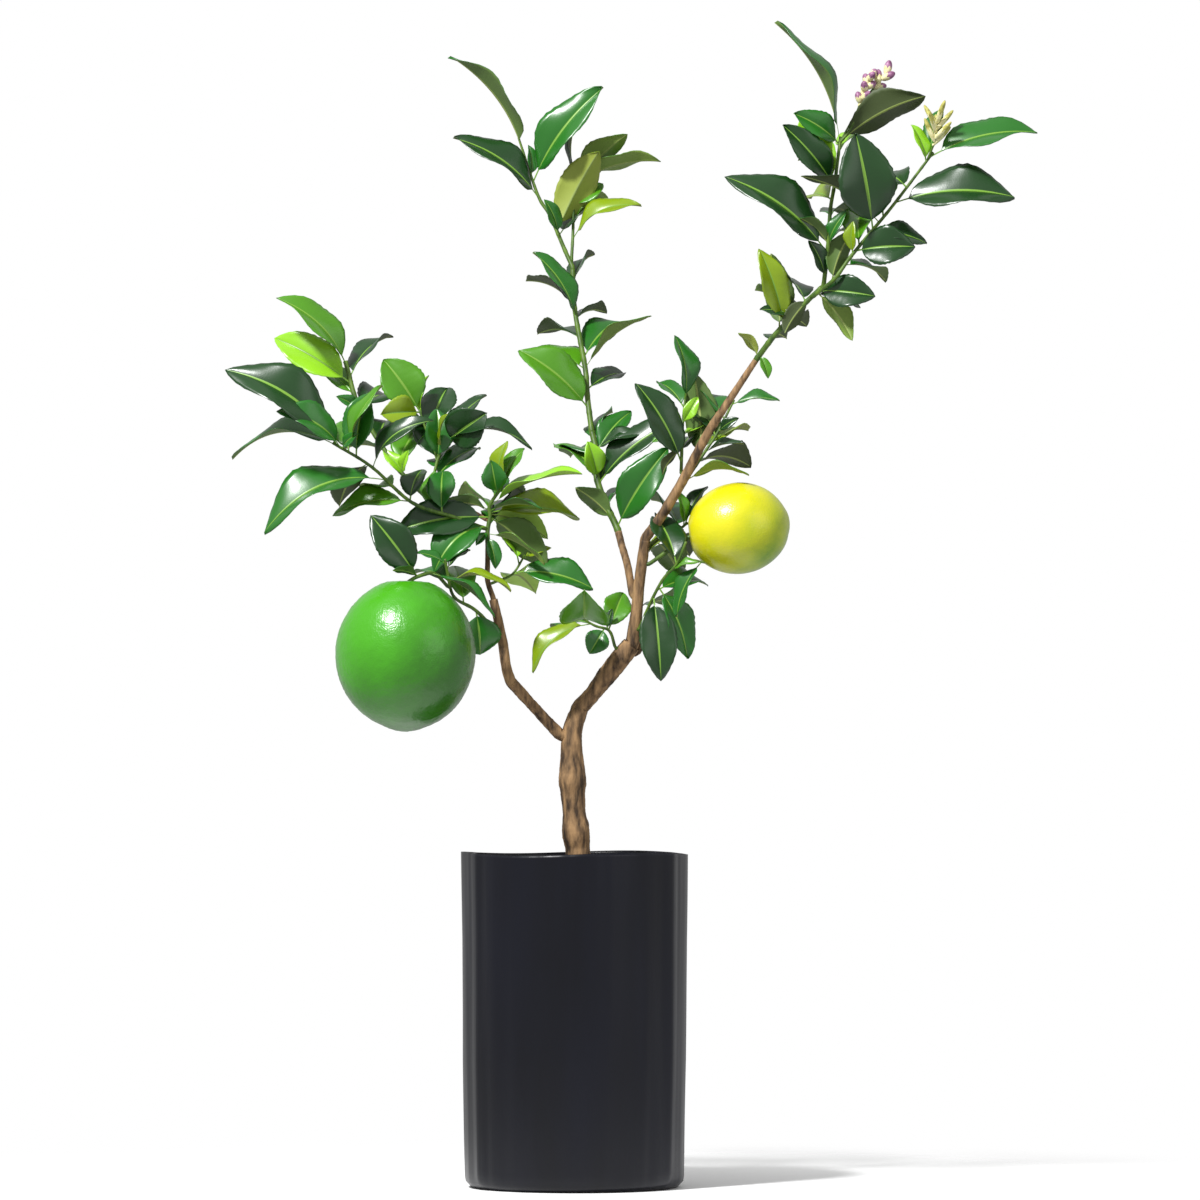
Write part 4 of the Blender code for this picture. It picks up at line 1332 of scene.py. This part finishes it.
@dataclass(frozen=True)
class Studio:
    """The pale floor, the soft lights and the camera, in metres."""

    camera_distance: float = 6.0
    camera_height: float = 0.366
    view_width: float = 1.039
    aim: Triple = (0.022, 0, 0.507)
    sensor_mm: float = 36.0
    ambient: float = 0.55
    lamps: tuple[Lamp, Lamp] = (
        Lamp("key", (-1.5, -2.0, 3.2), 190, 0.35),
        Lamp("fill", (2.4, -2.2, 1.4), 12, 2.0),
    )
    lamp_aim: Triple = (0.02, 0, 0.55)
    floor_radius: float = 8.0
    floor_segments: int = 96
    floor_drop: float = 0.0005
    floor_colour: str = "fafafa"
    floor_roughness: float = 0.9
    fade_from: float = 0.15
    fade_to: float = 0.75

    def build(self) -> None:
        """Sets all of it up."""
        scene = bpy.context.scene
        scene.view_settings.view_transform = "Standard"
        scene.world = self.white_world()
        self.add_camera()
        for lamp in self.lamps:
            self.add_lamp(lamp)
        self.add_floor()

    def add_camera(self) -> None:
        """Adds the camera, which looks at the tree from a little above the bag's rim."""
        aim = Vector(self.aim)
        camera = bpy.data.objects.new("camera", bpy.data.cameras.new("camera"))
        camera.data.lens = self.sensor_mm * self.camera_distance / self.view_width
        camera.location = (aim.x, -self.camera_distance, self.camera_height)
        camera.rotation_euler = (aim - camera.location).to_track_quat("-Z", "Y").to_euler()
        bpy.context.scene.collection.objects.link(camera)
        bpy.context.scene.camera = camera

    def add_lamp(self, lamp: Lamp) -> None:
        """Adds one light that looks at the tree.

        Args:
            lamp: The light to add.
        """
        data = bpy.data.lights.new(lamp.name, "AREA")
        data.energy = lamp.power
        data.size = lamp.size
        light = bpy.data.objects.new(lamp.name, data)
        light.location = lamp.place
        way = Vector(self.lamp_aim) - Vector(lamp.place)
        light.rotation_euler = way.to_track_quat("-Z", "Y").to_euler()
        bpy.context.scene.collection.objects.link(light)

    def add_floor(self) -> None:
        """Adds the floor just below the bag's foot."""
        bm = bmesh.new()
        bmesh.ops.create_circle(bm, cap_ends=True, segments=self.floor_segments, radius=self.floor_radius)
        mesh = bpy.data.meshes.new("floor")
        bm.to_mesh(mesh)
        bm.free()
        mesh.materials.append(self.fading_floor())
        floor = bpy.data.objects.new("floor", mesh)
        floor.location.z = -self.floor_drop
        bpy.context.scene.collection.objects.link(floor)

    def white_world(self) -> bpy.types.World:
        """Builds a world that shows white behind the tree and lights it more softly.

        Returns:
            The world.
        """
        world = bpy.data.worlds.new("studio")
        world.use_nodes = True
        nodes, links = world.node_tree.nodes, world.node_tree.links
        light = nodes["Background"]
        shown = nodes.new("ShaderNodeBackground")
        light.inputs["Color"].default_value = shown.inputs["Color"].default_value = (1, 1, 1, 1)
        light.inputs["Strength"].default_value = self.ambient
        mix = nodes.new("ShaderNodeMixShader")
        links.new(nodes.new("ShaderNodeLightPath").outputs["Is Camera Ray"], mix.inputs[0])
        links.new(light.outputs[0], mix.inputs[1])
        links.new(shown.outputs[0], mix.inputs[2])
        links.new(mix.outputs[0], nodes["World Output"].inputs["Surface"])
        return world

    def fading_floor(self) -> bpy.types.Material:
        """Builds a pale floor that fades out away from the bag, so that it has no edge against the white.

        Returns:
            The material.
        """
        looks = {"Base Color": linear(self.floor_colour), "Roughness": self.floor_roughness}
        material, shader, place = start_material("pale_floor", looks)
        far = add_node(material, "ShaderNodeVectorMath", {"operation": "LENGTH"}, {"Vector": place})
        reach = {
            "in:From Min": self.fade_from, "in:From Max": self.fade_to, "interpolation_type": "SMOOTHSTEP",
        }
        fade = add_node(material, "ShaderNodeMapRange", reach, {"Value": far.outputs["Value"]})
        clear = add_node(material, "ShaderNodeBsdfTransparent", {}, {})
        mixed = {0: fade.outputs["Result"], 1: shader.outputs[0], 2: clear.outputs[0]}
        mix = add_node(material, "ShaderNodeMixShader", {}, mixed)
        surface = material.node_tree.nodes["Material Output"].inputs["Surface"]
        material.node_tree.links.new(mix.outputs[0], surface)
        return material


def main() -> None:
    """Loads the frame, dresses every node and sets up the studio."""
    logging.basicConfig(level=logging.INFO, format="%(message)s")
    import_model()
    finishes = make_finishes()
    Studio().build()
    Bag(finishes["film"]).build()
    Soil(finishes["soil"]).build()
    rods = grow_all()
    wood = Wood(finishes["bark"])
    for name in ("trunk", *BOUGHS, "left_reach"):
        wood.limb(name, rods[name])
    foliage = Foliage(rods, finishes)
    for name, twigs in SPRAYS.items():
        foliage.spray(name, twigs)


if __name__ == "__main__":
    main()
